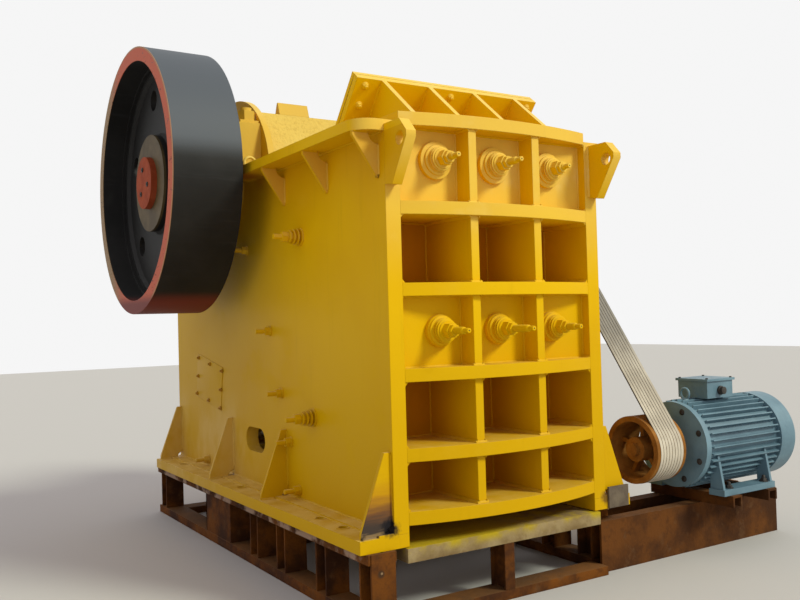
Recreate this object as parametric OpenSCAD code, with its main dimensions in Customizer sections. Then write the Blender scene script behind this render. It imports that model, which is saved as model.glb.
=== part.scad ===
// Jaw crusher of the 900 by 1200 mm feed class on its steel stand.
// X runs along the eccentric shaft, from the flywheel side to the belt side.
// Y runs from the ribbed front wall to the rear, and Z up from the floor.
// The origin is on the floor, in the crusher's middle plane, under the
// front edges of the side plates.

/* [Stand] */
// Height of the stand under the crusher's feet
stand_h = 390; // [330:10:520]
// Width of the stand's corner posts and chords
post_w = 150; // [110:5:190]
// Thickness of the steel of the stand's chords and posts
post_t = 16; // [10:1:24]
// Depth of the stand's chords
chord_h = 60; // [50:5:90]
// Height of the weathered sill beam under the front wall
sill_h = 110; // [80:5:140]

/* [Main frame] */
// Thickness of each side plate
side_t = 90; // [60:5:110]
// Length of the side plates
body_l = 3450; // [3350:10:3700]
// Height of the top flange above the stand
body_h = 2220; // [2160:10:2300]
// Height of the side plates' rear edge above the stand
rear_h = 1550; // [1300:10:1700]
// How far the feet stand out from the side plates
foot_out = 205; // [180:5:260]
// Thickness of the feet
foot_t = 70; // [50:5:90]
// Height of the gussets on the feet
foot_gusset_h = 425; // [350:5:480]
// How far the top flanges stand out
flange_out = 160; // [120:5:190]
// Thickness of the top flanges
flange_t = 60; // [40:5:70]
// Height of the gussets under the top flanges
flange_gusset_h = 235; // [180:5:300]
// Thickness of all gussets
gusset_t = 22; // [14:1:30]
// Length of the slot hole in each side plate
hand_hole_l = 330; // [250:10:380]
// Height of the slot hole in each side plate
hand_hole_h = 165; // [120:5:200]
// Radius of the holding-down bolt holes
foot_hole_r = 26; // [18:1:32]

/* [Front wall] */
// Distance from the side plates' front edge to the wall between the ribs
pocket_d = 380; // [320:10:420]
// Distance from the front edge to the two boss walls that take the jaw bolts
boss_y = 60; // [40:5:120]
// Thickness of the front wall behind the ribs
wall_t = 180; // [140:5:200]
// Thickness of the horizontal and vertical ribs
rib_t = 70; // [50:5:80]
// How far the ribs bow forwards at mid width
rib_bow = 100; // [60:5:140]
// How far the top deck bows forwards at mid width
deck_bow = 85; // [60:5:140]
// How far the top deck stands above the side plates
deck_rise = 52; // [20:2:60]
// Height of the feed guard above the deck
guard_h = 330; // [280:5:380]
// Slope of the feed guard from the horizontal, in degrees
guard_slope = 50; // [45:1:60]
// Thickness of the feed guard plate
guard_t = 42; // [25:1:50]
// Thickness of the liner plate bolted on the feed guard
liner_t = 28; // [16:1:36]
// Thickness of the lifting lugs
lug_t = 60; // [40:5:80]

/* [Jaws] */
// Width of the two jaw plates
jaw_w = 1200; // [1100:10:1300]
// Thickness of a jaw plate under its teeth
jaw_t = 95; // [70:5:110]
// Depth of the teeth
tooth_d = 50; // [30:5:60]
// Number of teeth on each jaw plate
teeth = 11; // [8:1:13]
// Lean of the swing jaw from the vertical, in degrees
jaw_lean = 19.5; // [17:0.5:21]
// Length of the pitman below the shaft
pitman_l = 2340; // [2250:10:2360]
// Thickness of the cheek plates
cheek_t = 40; // [25:5:55]
// Clearance between a jaw plate and the cheek plate beside it
jaw_gap = 20; // [10:2:30]

/* [Shaft and wheels] */
// Distance of the shaft behind the front edge
shaft_y = 2300; // [2250:10:2380]
// Height of the shaft above the stand
shaft_h = 2190; // [2150:10:2240]
// Throw of the eccentric
throw = 25; // [15:1:35]
// Radius of the shaft in its bearings
journal_r = 150; // [120:5:170]
// Radius of the eccentric part of the shaft
eccentric_r = 200; // [190:5:230]
// Radius of the shaft's wheel seats
seat_r = 130; // [100:5:140]
// Outer radius of the pitman's head
head_r = 480; // [440:10:500]
// Diameter of the flywheel and of the grooved wheel
wheel_d = 1850; // [1700:10:2000]
// Width of the two wheels
wheel_w = 455; // [400:5:500]
// Distance between a side plate and the wheel beside it
wheel_gap = 220; // [200:5:260]
// Thickness of the flywheel's rim
rim_t = 95; // [70:5:120]
// Thickness of the web of each wheel
web_t = 65; // [45:5:85]
// Radius of the hub of each wheel
hub_r = 340; // [280:10:360]
// Number of round holes in the web of each wheel
web_holes = 6; // [4:1:8]

/* [Drive] */
// Number of drive belts
belts = 8; // [4:1:8]
// Distance between neighbouring belts
belt_pitch = 26; // [24:0.5:28]
// Width of a belt at its back
belt_w = 22; // [18:0.5:23]
// Thickness of a belt
belt_t = 14; // [10:0.5:16]
// Diameter of the motor pulley
pulley_d = 430; // [360:10:500]
// Distance of the motor shaft behind the front edge
motor_y = 125; // [50:5:200]
// Height of the motor shaft above the floor
motor_z = 693; // [670:1:760]
// Height of the motor shaft above the motor's feet
motor_foot_h = 315; // [300:5:330]
// Length of the motor's frame
motor_l = 760; // [650:10:900]

/* [Hidden] */
$fn = 96;

// Side plates and what is set by them
body_w = jaw_w + 2 * (jaw_gap + cheek_t + side_t);
x_out = body_w / 2;
x_in = x_out - side_t;
base_z = stand_h;
top_z = base_z + body_h;
shaft_z = base_z + shaft_h;
foot_x = x_out + foot_out;
clear = 0.3;

// Horizontal ribs: underside heights above the stand, from the bottom up
rib_z = [108, 434, 850, 1300, 1731];
stiffener_x = [-0.34 * x_in, 0.34 * x_in];
boss_bolt_x = [-0.606 * x_in, 0, 0.606 * x_in];

// Jaw geometry
jaw_face_y = pocket_d + wall_t + jaw_t + tooth_d;
fixed_jaw_z = base_z + 150;
jaw_top_gap = 90;
deck_z = top_z + deck_rise;
deck_under = deck_z - rib_t;
fixed_jaw_top = deck_under - jaw_top_gap;
pitman_w = jaw_w;
tooth_pitch = jaw_w / teeth;

// Bearing housings and their caps
housing_r = 400;
cap_half = 500;
cap_h = 385;
housing_out = 150;
housing_in = 20;
housing_x = -x_out - housing_out;
housing_w = housing_out + side_t + housing_in;
flange_end_y = shaft_y - cap_half - 4;

// Wheels
wheel_x = x_out + wheel_gap;
wheel_r = wheel_d / 2;
web_x = wheel_w * 0.42;
groove_gap = 0.4;
lap = 6;
seam = 0.15;
belt_x = wheel_x + wheel_w / 2 + 52;
pulley_r = pulley_d / 2;

// Belt run: both ends are seen along X, with angles from +Y towards +Z
run_y = shaft_y - motor_y;
run_z = shaft_z - motor_z;
run_l = norm([run_y, run_z]);
run_tilt = atan2(run_z, run_y);
run_cone = asin((wheel_r - pulley_r) / run_l);
span_l = run_l * cos(run_cone);

// Joins two corners into a block
module block(x, y, z)
    translate([x[0], y[0], z[0]]) cube([x[1] - x[0], y[1] - y[0], z[1] - z[0]]);

// Extrudes an outline drawn in Y and Z along X, from x0 for t
module slab_x(x0, t)
    translate([x0, 0, 0]) rotate([90, 0, 90]) linear_extrude(t) children();

// Turns a shape made about Z so that its axis lies along X, at a place in Y and Z
module along_x(x0, y0, z0)
    translate([x0, y0, z0]) rotate([90, 0, 90]) children();

// Mirrors a left-hand shape to the right-hand side
module right_side() mirror([1, 0, 0]) children();

// Flat slot outline of a given length and height
module slot_2d(l, h) {
    square([l - h, h], center = true);
    for (s = [-1, 1]) translate([s * (l - h) / 2, 0]) circle(d = h);
}

// Stand: one side, a chord under the foot, a chord on the floor and posts between
post_y = [0, 420, 890, 1290, 1870, body_l - 550];
post_width = [post_w, 150, 85, 80, 440, 150];
module stand_side(front) color("saddlebrown") {
    slab_x(-foot_x, post_t) {
        translate([front, base_z - chord_h]) square([body_l - front, chord_h]);
        translate([front, 0]) square([body_l - front, chord_h]);
    }
    for (z = [0, base_z - post_t])
        block([-foot_x, -foot_x + post_w], [front, body_l], [z, z + post_t]);
    stand_post(front, post_width[0]);
    for (i = [1 : len(post_y) - 1]) stand_post(post_y[i], post_width[i]);
    stand_post(body_l - post_w, post_w);
}

// Post of angle section between the two chords
module stand_post(y, w) {
    block([-foot_x, -foot_x + post_w], [y, y + post_t], [post_t, base_z - post_t]);
    block([-foot_x, -foot_x + post_t], [y, y + w], [post_t, base_z - post_t]);
}

// Stand: the front beam on the floor with the middle H-post that carries the sill
beam_h = 55;
front_y = -20;
sill_z = base_z + 30 - sill_h;
base_x = x_out - 15;
module stand_front() color("saddlebrown") {
    block([post_w - foot_x, base_x], [front_y, front_y + post_w], [0, beam_h]);
    h_post(-60, front_y, beam_h, sill_z);
}

// Short upright of H section
module h_post(x, y, z0, z1) {
    h = post_w / 2;
    for (dx = [-h, h - post_t]) block([x + dx, x + dx + post_t], [y, y + post_w], [z0, z1]);
    block([x - h, x + h], [y + (post_w - post_t) / 2, y + (post_w + post_t) / 2], [z0, z1]);
}

// Stand: cross members at mid length and at the rear
mid_frame_y = 1800;
rear_frame_y = body_l - 180;
module stand_rear() {
    x = foot_x - post_w;
    color("saddlebrown") for (y = [mid_frame_y, rear_frame_y]) {
        for (z = [0, base_z - beam_h]) block([-x, x], [y, y + post_w], [z, z + beam_h]);
        for (px = [-x / 2, x / 2]) h_post(px, y, beam_h, base_z - beam_h);
    }
}

// Weathered beam that closes the gap under the front wall
module front_sill() color("tan")
    block([-x_in, x_in], [front_y, front_y + post_w], [sill_z, sill_z + sill_h]);

// Side plate outline in Y and Z, from the foot to the top flange
module side_plate() color("goldenrod") slab_x(-x_out, side_t) difference() {
    polygon([[0, base_z + foot_t], [body_l, base_z + foot_t], [body_l, base_z + rear_h],
        [shaft_y + shoulder_l, top_z - flange_t], [shaft_y + cap_half, shaft_z], [flange_end_y, shaft_z],
        [flange_end_y, top_z - flange_t], [0, top_z - flange_t]]);
    translate([shaft_y, shaft_z]) circle(r = housing_r + clear);
    translate([hand_hole_y, base_z + hand_hole_z]) slot_2d(hand_hole_l, hand_hole_h);
}
shoulder_l = 760;
hand_hole_y = 1809;
hand_hole_z = 378;

// Foot: a long flange with a doubler strip along the side plate and upright gussets
foot_gusset_y = [30, 1300, 2230, body_l - 50];
foot_hole_y = [326, 600, 1780, body_l - 440];
doubler_w = 92;
doubler_t = 12;
module foot() color("gold") {
    difference() {
        union() {
            block([-foot_x, -x_in], [0, body_l], [base_z, base_z + foot_t]);
            block([-x_out - doubler_w, -x_out], [0, body_l], [base_z, base_z + foot_t + doubler_t]);
        }
        for (y = foot_hole_y) translate([-foot_x + foot_out * 0.4, y, base_z - 1])
            cylinder(r = foot_hole_r, h = foot_t + 2);
    }
    for (y = foot_gusset_y) translate([-x_out, y + gusset_t / 2, base_z + foot_t])
        rotate([90, 0, 0]) linear_extrude(gusset_t) foot_gusset();
}

// Foot gusset, drawn from the side plate outwards, with a round cut at its inner corner
gusset_back = 20;
gusset_toe = 30;
gusset_crest = 40;
snipe_r = 48;
module foot_gusset() difference() {
    polygon([[0, 0], [gusset_back - foot_out, 0], [gusset_back - foot_out, gusset_toe],
        [-gusset_crest, foot_gusset_h], [0, foot_gusset_h]]);
    circle(r = snipe_r);
}

// Top flange with hanging gussets, each with a round cut in its inner corner
flange_gusset_y = [70, 650, 1240];
flange_corner = 120;
flange_snipe_r = 60;
module top_flange() color("gold") {
    translate([0, 0, top_z - flange_t]) linear_extrude(flange_t)
        flange_plan();
    for (y = flange_gusset_y) translate([-x_out, y + gusset_t / 2, top_z - flange_t])
        rotate([90, 0, 0]) linear_extrude(gusset_t) difference() {
            polygon([[0, 0], [6 - flange_out, 0], [6 - flange_out, -gusset_t],
                [-gusset_t / 2, -flange_gusset_h], [0, -flange_gusset_h]]);
            circle(r = flange_snipe_r);
        }
}

// Plan of a top flange, its outer front corner rounded
module flange_plan() {
    out = x_out + flange_out;
    translate([-out, flange_corner]) square([out - x_in, flange_end_y - flange_corner]);
    translate([flange_corner - out, 0]) square([out - x_in - flange_corner, flange_end_y]);
    translate([flange_corner - out, flange_corner]) circle(r = flange_corner);
}

// Lifting lugs on the front edges of the side plates
lug_top = top_z - 25;
lug_out = 290;
lug_crest = 170;
lug_root = 130;
lug_h = 325;
lug_hole_y = -150;
lug_hole_z = top_z - 125;
lug_hole_r = 36;
module lifting_lugs() color("gold") for (m = [0, 1]) mirror([m, 0, 0])
    slab_x(-x_out, lug_t) difference() {
        polygon([[0, lug_top], [-lug_crest, lug_top], [-lug_out + 40, lug_top - 35],
            [-lug_out, lug_top - 85], [-lug_root, lug_top - lug_h], [0, lug_top - lug_h + 15]]);
        translate([lug_hole_y, lug_hole_z]) circle(r = lug_hole_r);
    }

// Front wall: the thick plate behind the ribs
wall_foot = 70;
module front_wall() color("goldenrod")
    block([-x_in, x_in], [pocket_d, pocket_d + wall_t], [base_z + wall_foot, deck_under]);

// Boss walls: the two shallow bays that take the jaw bolts
module boss_walls() color("gold") for (b = [[2, 3], [4, 5]]) {
    lo = base_z + rib_z[b[0]] + rib_t;
    hi = b[1] == 5 ? deck_under : base_z + rib_z[b[1]];
    block([-x_in, x_in], [boss_y, boss_y + boss_wall_t], [lo, hi]);
}
boss_wall_t = 50;

// Flat outline of a rib with a bowed front edge
module bowed_rib(depth, bow) {
    r = (x_in * x_in + bow * bow) / (2 * bow);
    translate([-x_in, 0]) square([2 * x_in, depth]);
    intersection() {
        translate([0, r - bow]) circle(r = r, $fn = 360);
        translate([-x_in, -bow]) square([2 * x_in, bow]);
    }
}

// Horizontal ribs and the top deck
module front_ribs() color("gold") {
    for (z = rib_z) translate([0, 0, base_z + z]) linear_extrude(rib_t) bowed_rib(pocket_d, rib_bow);
    translate([0, 0, deck_under]) linear_extrude(rib_t) bowed_rib(guard_foot_y + deck_lip, deck_bow);
}

// Vertical stiffeners between the horizontal ribs
module front_stiffeners() color("gold") for (x = stiffener_x, i = [0 : len(rib_z) - 1]) {
    shallow = i == 2 || i == 4;
    lo = base_z + rib_z[i] + rib_t;
    hi = i == len(rib_z) - 1 ? deck_under : base_z + rib_z[i + 1];
    block([x - rib_t / 2, x + rib_t / 2], [20 - rib_bow, shallow ? boss_y : pocket_d], [lo, hi]);
}

// Feed guard: a plate that slopes into the mouth, its liner behind it and gussets on the deck
guard_foot_y = jaw_face_y + 46;
deck_lip = 8;
guard_gusset_x = [-0.733 * x_in, -0.248 * x_in, 0.248 * x_in, 0.733 * x_in];
guard_gusset_t = 32;
guard_gusset_h = guard_h - 45;
guard_top = guard_h - 21;
guard_toe_y = 72;
liner_gap = 6;
liner_depth = liner_t / sin(guard_slope);
guard_back = (liner_t + liner_gap) / sin(guard_slope);
guard_depth = guard_t / sin(guard_slope);
module feed_guard() color("gold") {
    sloping_plate(guard_foot_y, liner_depth, liner_t, guard_h);
    sloping_plate(guard_foot_y - guard_back, guard_depth, guard_t, guard_top);
    face_y = guard_foot_y - guard_back - guard_depth;
    for (x = guard_gusset_x) slab_x(x - guard_gusset_t / 2, guard_gusset_t)
        polygon([[guard_toe_y, deck_z], [face_y + lap, deck_z],
            [face_y - guard_gusset_h / tan(guard_slope) + lap, deck_z + guard_gusset_h]]);
}

// Plate of thickness t that rises from the deck at y and leans forwards to height h
module sloping_plate(y, depth, t, h) slab_x(-x_in, 2 * x_in) polygon([[y, deck_z],
    [y - h / tan(guard_slope), deck_z + h],
    [y - h / tan(guard_slope) - t * sin(guard_slope), deck_z + h - t * cos(guard_slope)],
    [y - depth, deck_z]]);

// Flat plan of a toothed jaw plate, teeth towards +Y
tooth_shape = [[0.1, 0], [0.36, tooth_d], [0.64, tooth_d], [0.9, 0]];
module toothed_plate(back) polygon(concat([[-jaw_w / 2, 0]], [[-jaw_w / 2, back]],
    [for (i = [0 : teeth - 1], p = tooth_shape) [(i + p[0]) * tooth_pitch - jaw_w / 2, back + p[1]]],
    [[jaw_w / 2, back]], [[jaw_w / 2, 0]]));

// Fixed jaw plate on the front wall
module fixed_jaw_plate() color("dimgray") translate([0, pocket_d + wall_t, fixed_jaw_z])
    linear_extrude(fixed_jaw_top - fixed_jaw_z) toothed_plate(jaw_t);

// Jaw bolts: a turned stack of washers, a nut, a lock nut and the stud with its thinner end.
// Each row has its own height and seat, and each bolt its own length, as they were tightened.
jaw_bolt_z = [1112, 2035];
jaw_seat_r = [88, 103];
jaw_stud_l = [[280, 325, 265], [235, 265, 212]];
module jaw_bolts() color("gold") for (row = [0, 1], i = [0 : 2])
    translate([boss_bolt_x[i], boss_y, base_z + jaw_bolt_z[row]]) rotate([90, 0, 0])
        jaw_bolt(jaw_seat_r[row], jaw_stud_l[row][i]);

jaw_nut = [92, 136, 43];
jaw_lock_nut = [136, 160, 34];
jaw_stud_r = 19;
jaw_tip_r = 13;
jaw_tip_l = 45;
module jaw_bolt(seat, l) {
    rotate_extrude() polygon([[0, 0], [seat, 0], [seat, 26], [82, 32], [82, 42], [68, 46], [68, 54],
        [60, 56], [60, 60], [68, 62], [68, 70], [58, 73], [58, 77], [64, 79], [64, 84], [54, 86],
        [54, jaw_nut[0]], [jaw_stud_r, jaw_nut[0]], [jaw_stud_r, l - jaw_tip_l],
        [jaw_tip_r, l - jaw_tip_l + 6], [jaw_tip_r, l], [0, l]]);
    for (nut = [jaw_nut, jaw_lock_nut]) translate([0, 0, nut[0] - 1])
        cylinder(r = nut[2], h = nut[1] - nut[0] + 1, $fn = 6);
}

// Cheek plates: an upper and a lower wear plate on the inside of a side plate
cheek_front_y = jaw_face_y + 15;
cheek_foot = 110;
cheek_split = 915;
cheek_seam = 15;
cheek_shoulder = 1750;
cheek_back_y = 1790;
cheek_split_y = 1415;
cheek_foot_y = 1150;
module cheek_plates() color("gray") slab_x(-x_in, cheek_t) {
    polygon([[cheek_front_y, base_z + cheek_split + cheek_seam], [cheek_front_y, fixed_jaw_top],
        [cheek_back_y, fixed_jaw_top], [cheek_back_y, base_z + cheek_shoulder],
        [cheek_split_y, base_z + cheek_split + cheek_seam]]);
    polygon([[cheek_front_y, base_z + cheek_foot], [cheek_front_y, base_z + cheek_split],
        [cheek_split_y, base_z + cheek_split], [cheek_foot_y, base_z + cheek_foot]]);
}

// Cheek bolts outside a side plate: two with a pack of thin discs, the rest plain
stack_bolts = [[1025, 1703], [908, 601]];
plain_bolts = [[1517, 1125], [1355, 724], [1230, 423], [1120, 135], [body_l - 695, 130], [1890, 1690]];
disc_pitch = 24;
stack_disc_r = 56;
stack_disc_t = 9;
stack_core_r = 26;
stack_nut = [33, 30];
stack_stud_l = 180;
plain_washer = [34, 10];
plain_nut = [30, 42];
plain_stud_l = 104;
cheek_stud_r = 16;
module cheek_bolts() color("gold") {
    for (p = stack_bolts) along_x(-x_out, p[0], base_z + p[1]) mirror([0, 0, 1]) {
        for (i = [0 : 3]) translate([0, 0, i * disc_pitch])
            cylinder(r = stack_disc_r - i * 5, h = stack_disc_t);
        cylinder(r = stack_core_r, h = 4 * disc_pitch);
        translate([0, 0, 4 * disc_pitch - lap]) cylinder(r = stack_nut[0], h = stack_nut[1] + lap, $fn = 6);
        cylinder(r = cheek_stud_r, h = stack_stud_l);
    }
    for (p = plain_bolts) along_x(-x_out, p[0], base_z + p[1]) mirror([0, 0, 1]) {
        cylinder(r = plain_washer[0], h = plain_washer[1]);
        cylinder(r = plain_nut[0], h = plain_nut[1], $fn = 6);
        cylinder(r = cheek_stud_r, h = plain_stud_l);
    }
}

// Toggle: its rear end sits in the beam, its front end faces the boss on the pitman's back
seat_back = 1020;
seat_h = 690;
seat_y = body_l - seat_back;
seat_z = base_z + seat_h;
seat_depth = 40;
boss_down = 1760;
boss_back = 127;
toggle_front = pitman_point(-boss_down, -boss_back);
toggle_run = [seat_y - toggle_front[0], seat_z - toggle_front[1]];
toggle_tilt = atan2(toggle_run[1], toggle_run[0]);
toggle_l = norm(toggle_run);
toggle_h = 90;
module toggle_frame() translate([seat_y, seat_z]) rotate(toggle_tilt) children();

// Toggle beam: the cross box that carries the toggle's rear seat
beam_back = 560;
beam_low = 220;
beam_top = 180;
beam_rise = 90;
module toggle_beam() color("goldenrod") slab_x(-x_in, 2 * x_in) difference() {
    polygon([[seat_y, seat_z - beam_low], [seat_y + seat_depth, seat_z + beam_top],
        [seat_y + beam_back, seat_z + beam_top + beam_rise],
        [seat_y + beam_back, seat_z - beam_low + beam_rise]]);
    toggle_frame() translate([-60, -toggle_h / 2 - clear]) square([60 + seat_depth, toggle_h + 2 * clear]);
}

// Toggle plate, a little narrower than the pitman
toggle_side = 40;
module toggle_plate() color("dimgray") slab_x(-pitman_w / 2 + toggle_side, pitman_w - 2 * toggle_side)
    toggle_frame() translate([-toggle_l, -toggle_h / 2]) square([toggle_l + seat_depth - clear, toggle_h]);

// Rear wall with cross ribs and a window for the tension rod
rod_z = base_z + 190;
rear_wall_t = 60;
rear_wall_foot = base_z + foot_t;
rear_wall_top = base_z + rear_h - 100;
rear_rib_w = 140;
rear_rib_z = [rear_wall_foot, base_z + 0.32 * rear_h, base_z + 0.6 * rear_h, rear_wall_top - 70];
module rear_wall() color("goldenrod") difference() {
    union() {
        block([-x_in, x_in], [body_l - rear_wall_t, body_l], [rear_wall_foot, rear_wall_top]);
        for (z = rear_rib_z) translate([0, body_l - rear_wall_t - rear_rib_w, z])
            block([-x_in, x_in], [0, rear_rib_w], [0, rear_wall_t]);
    }
    along_y(0, body_l - rear_wall_t - rear_rib_w - lap, rod_z + throw)
        cylinder(r = rod_r + throw + 20, h = rear_wall_t + rear_rib_w + 2 * lap);
}

// Round cup on the rear wall that hides the spring's front washer
module spring_cup() color("goldenrod") along_y(0, body_l, rod_z + throw) difference() {
    cylinder(r = cup_r + cup_t, h = cup_l);
    translate([0, 0, -1]) cylinder(r = cup_r, h = cup_l + 2);
}
cup_r = 165;
cup_t = 15;
cup_l = 85;

// Turns a shape made about Z so that its axis lies along Y
module along_y(x0, y0, z0) translate([x0, y0, z0]) rotate([-90, 0, 0]) children();

// Bearing housing: the lower half sits in the side plate, the cap is bolted on top
module bearing_housing() color("gold") slab_x(housing_x, housing_w) difference() {
    intersection() {
        translate([shaft_y, shaft_z]) circle(r = housing_r);
        translate([shaft_y - housing_r, shaft_z - housing_r]) square([2 * housing_r, housing_r]);
    }
    translate([shaft_y, shaft_z]) circle(r = journal_r + clear);
}

// Bearing cap: a block with a rounded crown, a thin cover outside and a tall cheek inside
cap_crown_r = cap_half - 25;
module bearing_cap() color("gold") {
    slab_x(housing_x, housing_w) difference() {
        translate([shaft_y, shaft_z]) union() {
            translate([-cap_half, 0]) square([2 * cap_half, cap_h]);
            half_disc(cap_crown_r);
        }
        translate([shaft_y, shaft_z]) circle(r = journal_r + clear);
    }
    cap_ring(housing_x - cover_t, cover_t + lap, cover_r);
    cap_ring(-x_in, x_in - pitman_w / 2 - side_room, inner_cheek_r);
    for (y = [-1, 1])
        translate([housing_x + cap_bolt_in, shaft_y + y * cap_bolt_y, shaft_z + cap_h]) cap_bolt();
}

// Upper half of a disc in side view, and the same as a ring around the shaft
module half_disc(r) intersection() {
    circle(r = r);
    translate([-r, 0]) square([2 * r, r]);
}
module cap_ring(x, t, r) slab_x(x, t) translate([shaft_y, shaft_z]) difference() {
    half_disc(r);
    circle(r = journal_r + clear);
}

// Bolt of a bearing cap: a square washer, a big nut and the stud's end
cap_bolt_in = 168;
cap_bolt_y = cap_half - 90;
cap_washer = [70, 22];
cap_nut = [68, 92];
cap_stud = [40, 118];
cover_t = 30;
cover_r = 285;
inner_cheek_r = 640;
side_room = 14;
module cap_bolt() {
    block([-cap_washer[0], cap_washer[0]], [-cap_washer[0], cap_washer[0]], [-1, cap_washer[1]]);
    cylinder(r = cap_nut[0], h = cap_nut[1], $fn = 6);
    cylinder(r = cap_stud[0], h = cap_stud[1]);
}

// Eccentric shaft: two journals, two wheel seats and the offset middle
module eccentric_shaft() color("silver") {
    along_x(-shaft_end, shaft_y, shaft_z) cylinder(r = seat_r, h = 2 * shaft_end);
    along_x(-wheel_x - hub_in, shaft_y, shaft_z) cylinder(r = journal_r, h = 2 * (wheel_x + hub_in));
    along_x(-pitman_w / 2 + 4, shaft_y, shaft_z - throw) cylinder(r = eccentric_r, h = pitman_w - 8);
}

// Half section of a wheel from its hub to its rim, radius against width. The rim meets
// the web on each side over two turned steps.
hub_in = 60;
hub_face = web_x + web_t + 75;
shaft_end = wheel_x + hub_face;
step_d = [16, 40];
step_h = [52, 26];
module wheel_section(rim) {
    bore = seat_r + 0.1;
    inner = wheel_r - rim;
    out = web_x + web_t;
    polygon([[bore, hub_in], [hub_r, hub_in], [hub_r + 20, web_x], [inner - step_d[1], web_x],
        [inner, web_x - 60], [inner, 0], [wheel_r, 0], [wheel_r, wheel_w], [inner, wheel_w],
        [inner, out + step_h[0]], [inner - step_d[0], out + step_h[0]], [inner - step_d[0], out + step_h[1]],
        [inner - step_d[1], out + step_h[1]], [inner - step_d[1] - 20, out],
        [hub_r + 20, out], [hub_r, out + 20], [hub_r, hub_face], [bore, hub_face]]);
}

// Round holes through the web of a wheel
web_hole_r = 74;
web_hole_turn = -40;
module web_cuts() for (i = [0 : web_holes - 1]) rotate(i * 360 / web_holes + web_hole_turn)
    translate([(hub_r + wheel_r) / 2, 0, -1]) cylinder(r = web_hole_r, h = wheel_w + 2);

// Flywheel on the left, open face outwards
module flywheel() color([0.16, 0.16, 0.17]) along_x(-wheel_x - wheel_w, shaft_y, shaft_z) difference() {
    rotate_extrude($fn = 180) translate([0, wheel_w]) mirror([0, 1]) wheel_section(rim_t);
    web_cuts();
}

// Grooved wheel on the right
module drive_sheave() color([0.16, 0.16, 0.17]) along_x(wheel_x, shaft_y, shaft_z) difference() {
    rotate_extrude($fn = 180) difference() {
        wheel_section(rim_t + 15);
        grooves(wheel_r, belt_x - wheel_x);
    }
    web_cuts();
}

// V grooves cut into a rim of radius r, centred at height c
module grooves(r, c) for (i = [0 : belts - 1]) translate([r, c + (i - (belts - 1) / 2) * belt_pitch])
    mirror([1, 0]) belt_2d(groove_gap, -belt_proud - 3, belt_t + 3);

// V section from depth d0 to depth d1 under the rim, wider than a belt by a gap on each side
belt_proud = 2;
belt_slope = tan(18);
function half_at(d, gap) = belt_w / 2 + gap - belt_slope * (d + belt_proud);
module belt_2d(gap, d0, d1) polygon([[d0, half_at(d0, gap)], [d1, half_at(d1, gap)],
    [d1, -half_at(d1, gap)], [d0, -half_at(d0, gap)]]);

// One closed belt: an arc on each wheel and two straight spans
module belt(x) {
    wrap(x, shaft_y, shaft_z, wheel_r, run_tilt - run_cone - 90, 180 + 2 * run_cone);
    wrap(x, motor_y, motor_z, pulley_r, run_tilt + run_cone + 90, 180 - 2 * run_cone);
    span(x, run_tilt + run_cone, 1);
    span(x, run_tilt - run_cone, -1);
}

// Arc of a belt on a wheel, from an angle a0 through a
module wrap(x, y, z, r, a0, a) along_x(x, y, z) rotate(a0)
    rotate_extrude(angle = a, $fn = 240) translate([r, 0]) mirror([1, 0])
        belt_2d(0, -belt_proud, belt_t - belt_proud);

// Straight span of a belt on the upper side (s = 1) or the lower side (s = -1).
// It is a hair slimmer than the arcs and reaches a little way into both of them.
module span(x, tilt, s) along_x(x, motor_y, motor_z) rotate(tilt + s * 90) translate([pulley_r, 0, 0])
    rotate([s * 90, 0, 0]) translate([0, 0, -lap]) linear_extrude(span_l + 2 * lap)
        mirror([1, 0]) belt_2d(-seam, seam - belt_proud, belt_t - belt_proud - seam);

module drive_belts() color("lightgray") for (i = [0 : belts - 1])
    belt(belt_x + (i - (belts - 1) / 2) * belt_pitch);

// Round end plates on the shaft, each held by three bolts
disc_t = 42;
module end_disc() color("indianred") along_x(-shaft_end - disc_t, shaft_y, shaft_z)
    cylinder(r = seat_r + 52, h = disc_t);

// Places an outline in the pitman's leaning frame: +X up along its face, +Y to the front
module pitman_frame() translate([shaft_y, shaft_z - throw]) rotate(90 - jaw_lean) children();
function pitman_point(up, front) = [shaft_y + up * sin(jaw_lean) - front * cos(jaw_lean),
    shaft_z - throw + up * cos(jaw_lean) + front * sin(jaw_lean)];

// Pitman: the swinging casting with its head, front apron, toggle boss and rod lug
apron_top = 400;
apron_t = 60;
apron_root = 150;
back_y = 120;
waist_down = 600;
waist_back = 200;
heel_down = 1500;
boss_gap = throw * (1 + sin(toggle_tilt)) + 8;
toggle_boss_l = 300;
toggle_boss_h = 240;
lug_y = 1600;
lug_half = 45;
module pitman() color("khaki") {
    difference() {
        pitman_casting();
        rod_path();
    }
    slab_x(-lug_half, 2 * lug_half) polygon([[lug_y - 220, rod_z - 75], [lug_y, rod_z - 60],
        [lug_y, rod_z + 60], [lug_y - 200, rod_z + 180]]);
}

// The casting before its rod lug is added
module pitman_casting() slab_x(-pitman_w / 2, pitman_w) difference() {
    union() {
        pitman_frame() {
            circle(r = head_r);
            polygon([[-pitman_l, head_r], [apron_top, head_r], [apron_top, head_r - apron_t],
                [apron_root, head_r - 2 * apron_t], [0, -head_r], [-60, -head_r], [-waist_down, -waist_back],
                [-heel_down, back_y - 10], [-pitman_l, back_y]]);
        }
        toggle_frame() translate([-toggle_l - boss_gap - toggle_boss_l, -0.54 * toggle_boss_h])
            square([toggle_boss_l, toggle_boss_h]);
    }
    translate([shaft_y, shaft_z - throw]) circle(r = eccentric_r + clear);
}

// Free path of the tension rod behind its lug
rod_room = 20;
module rod_path() along_y(0, lug_y, rod_z) cylinder(r = rod_r + rod_room, h = body_l);

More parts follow.
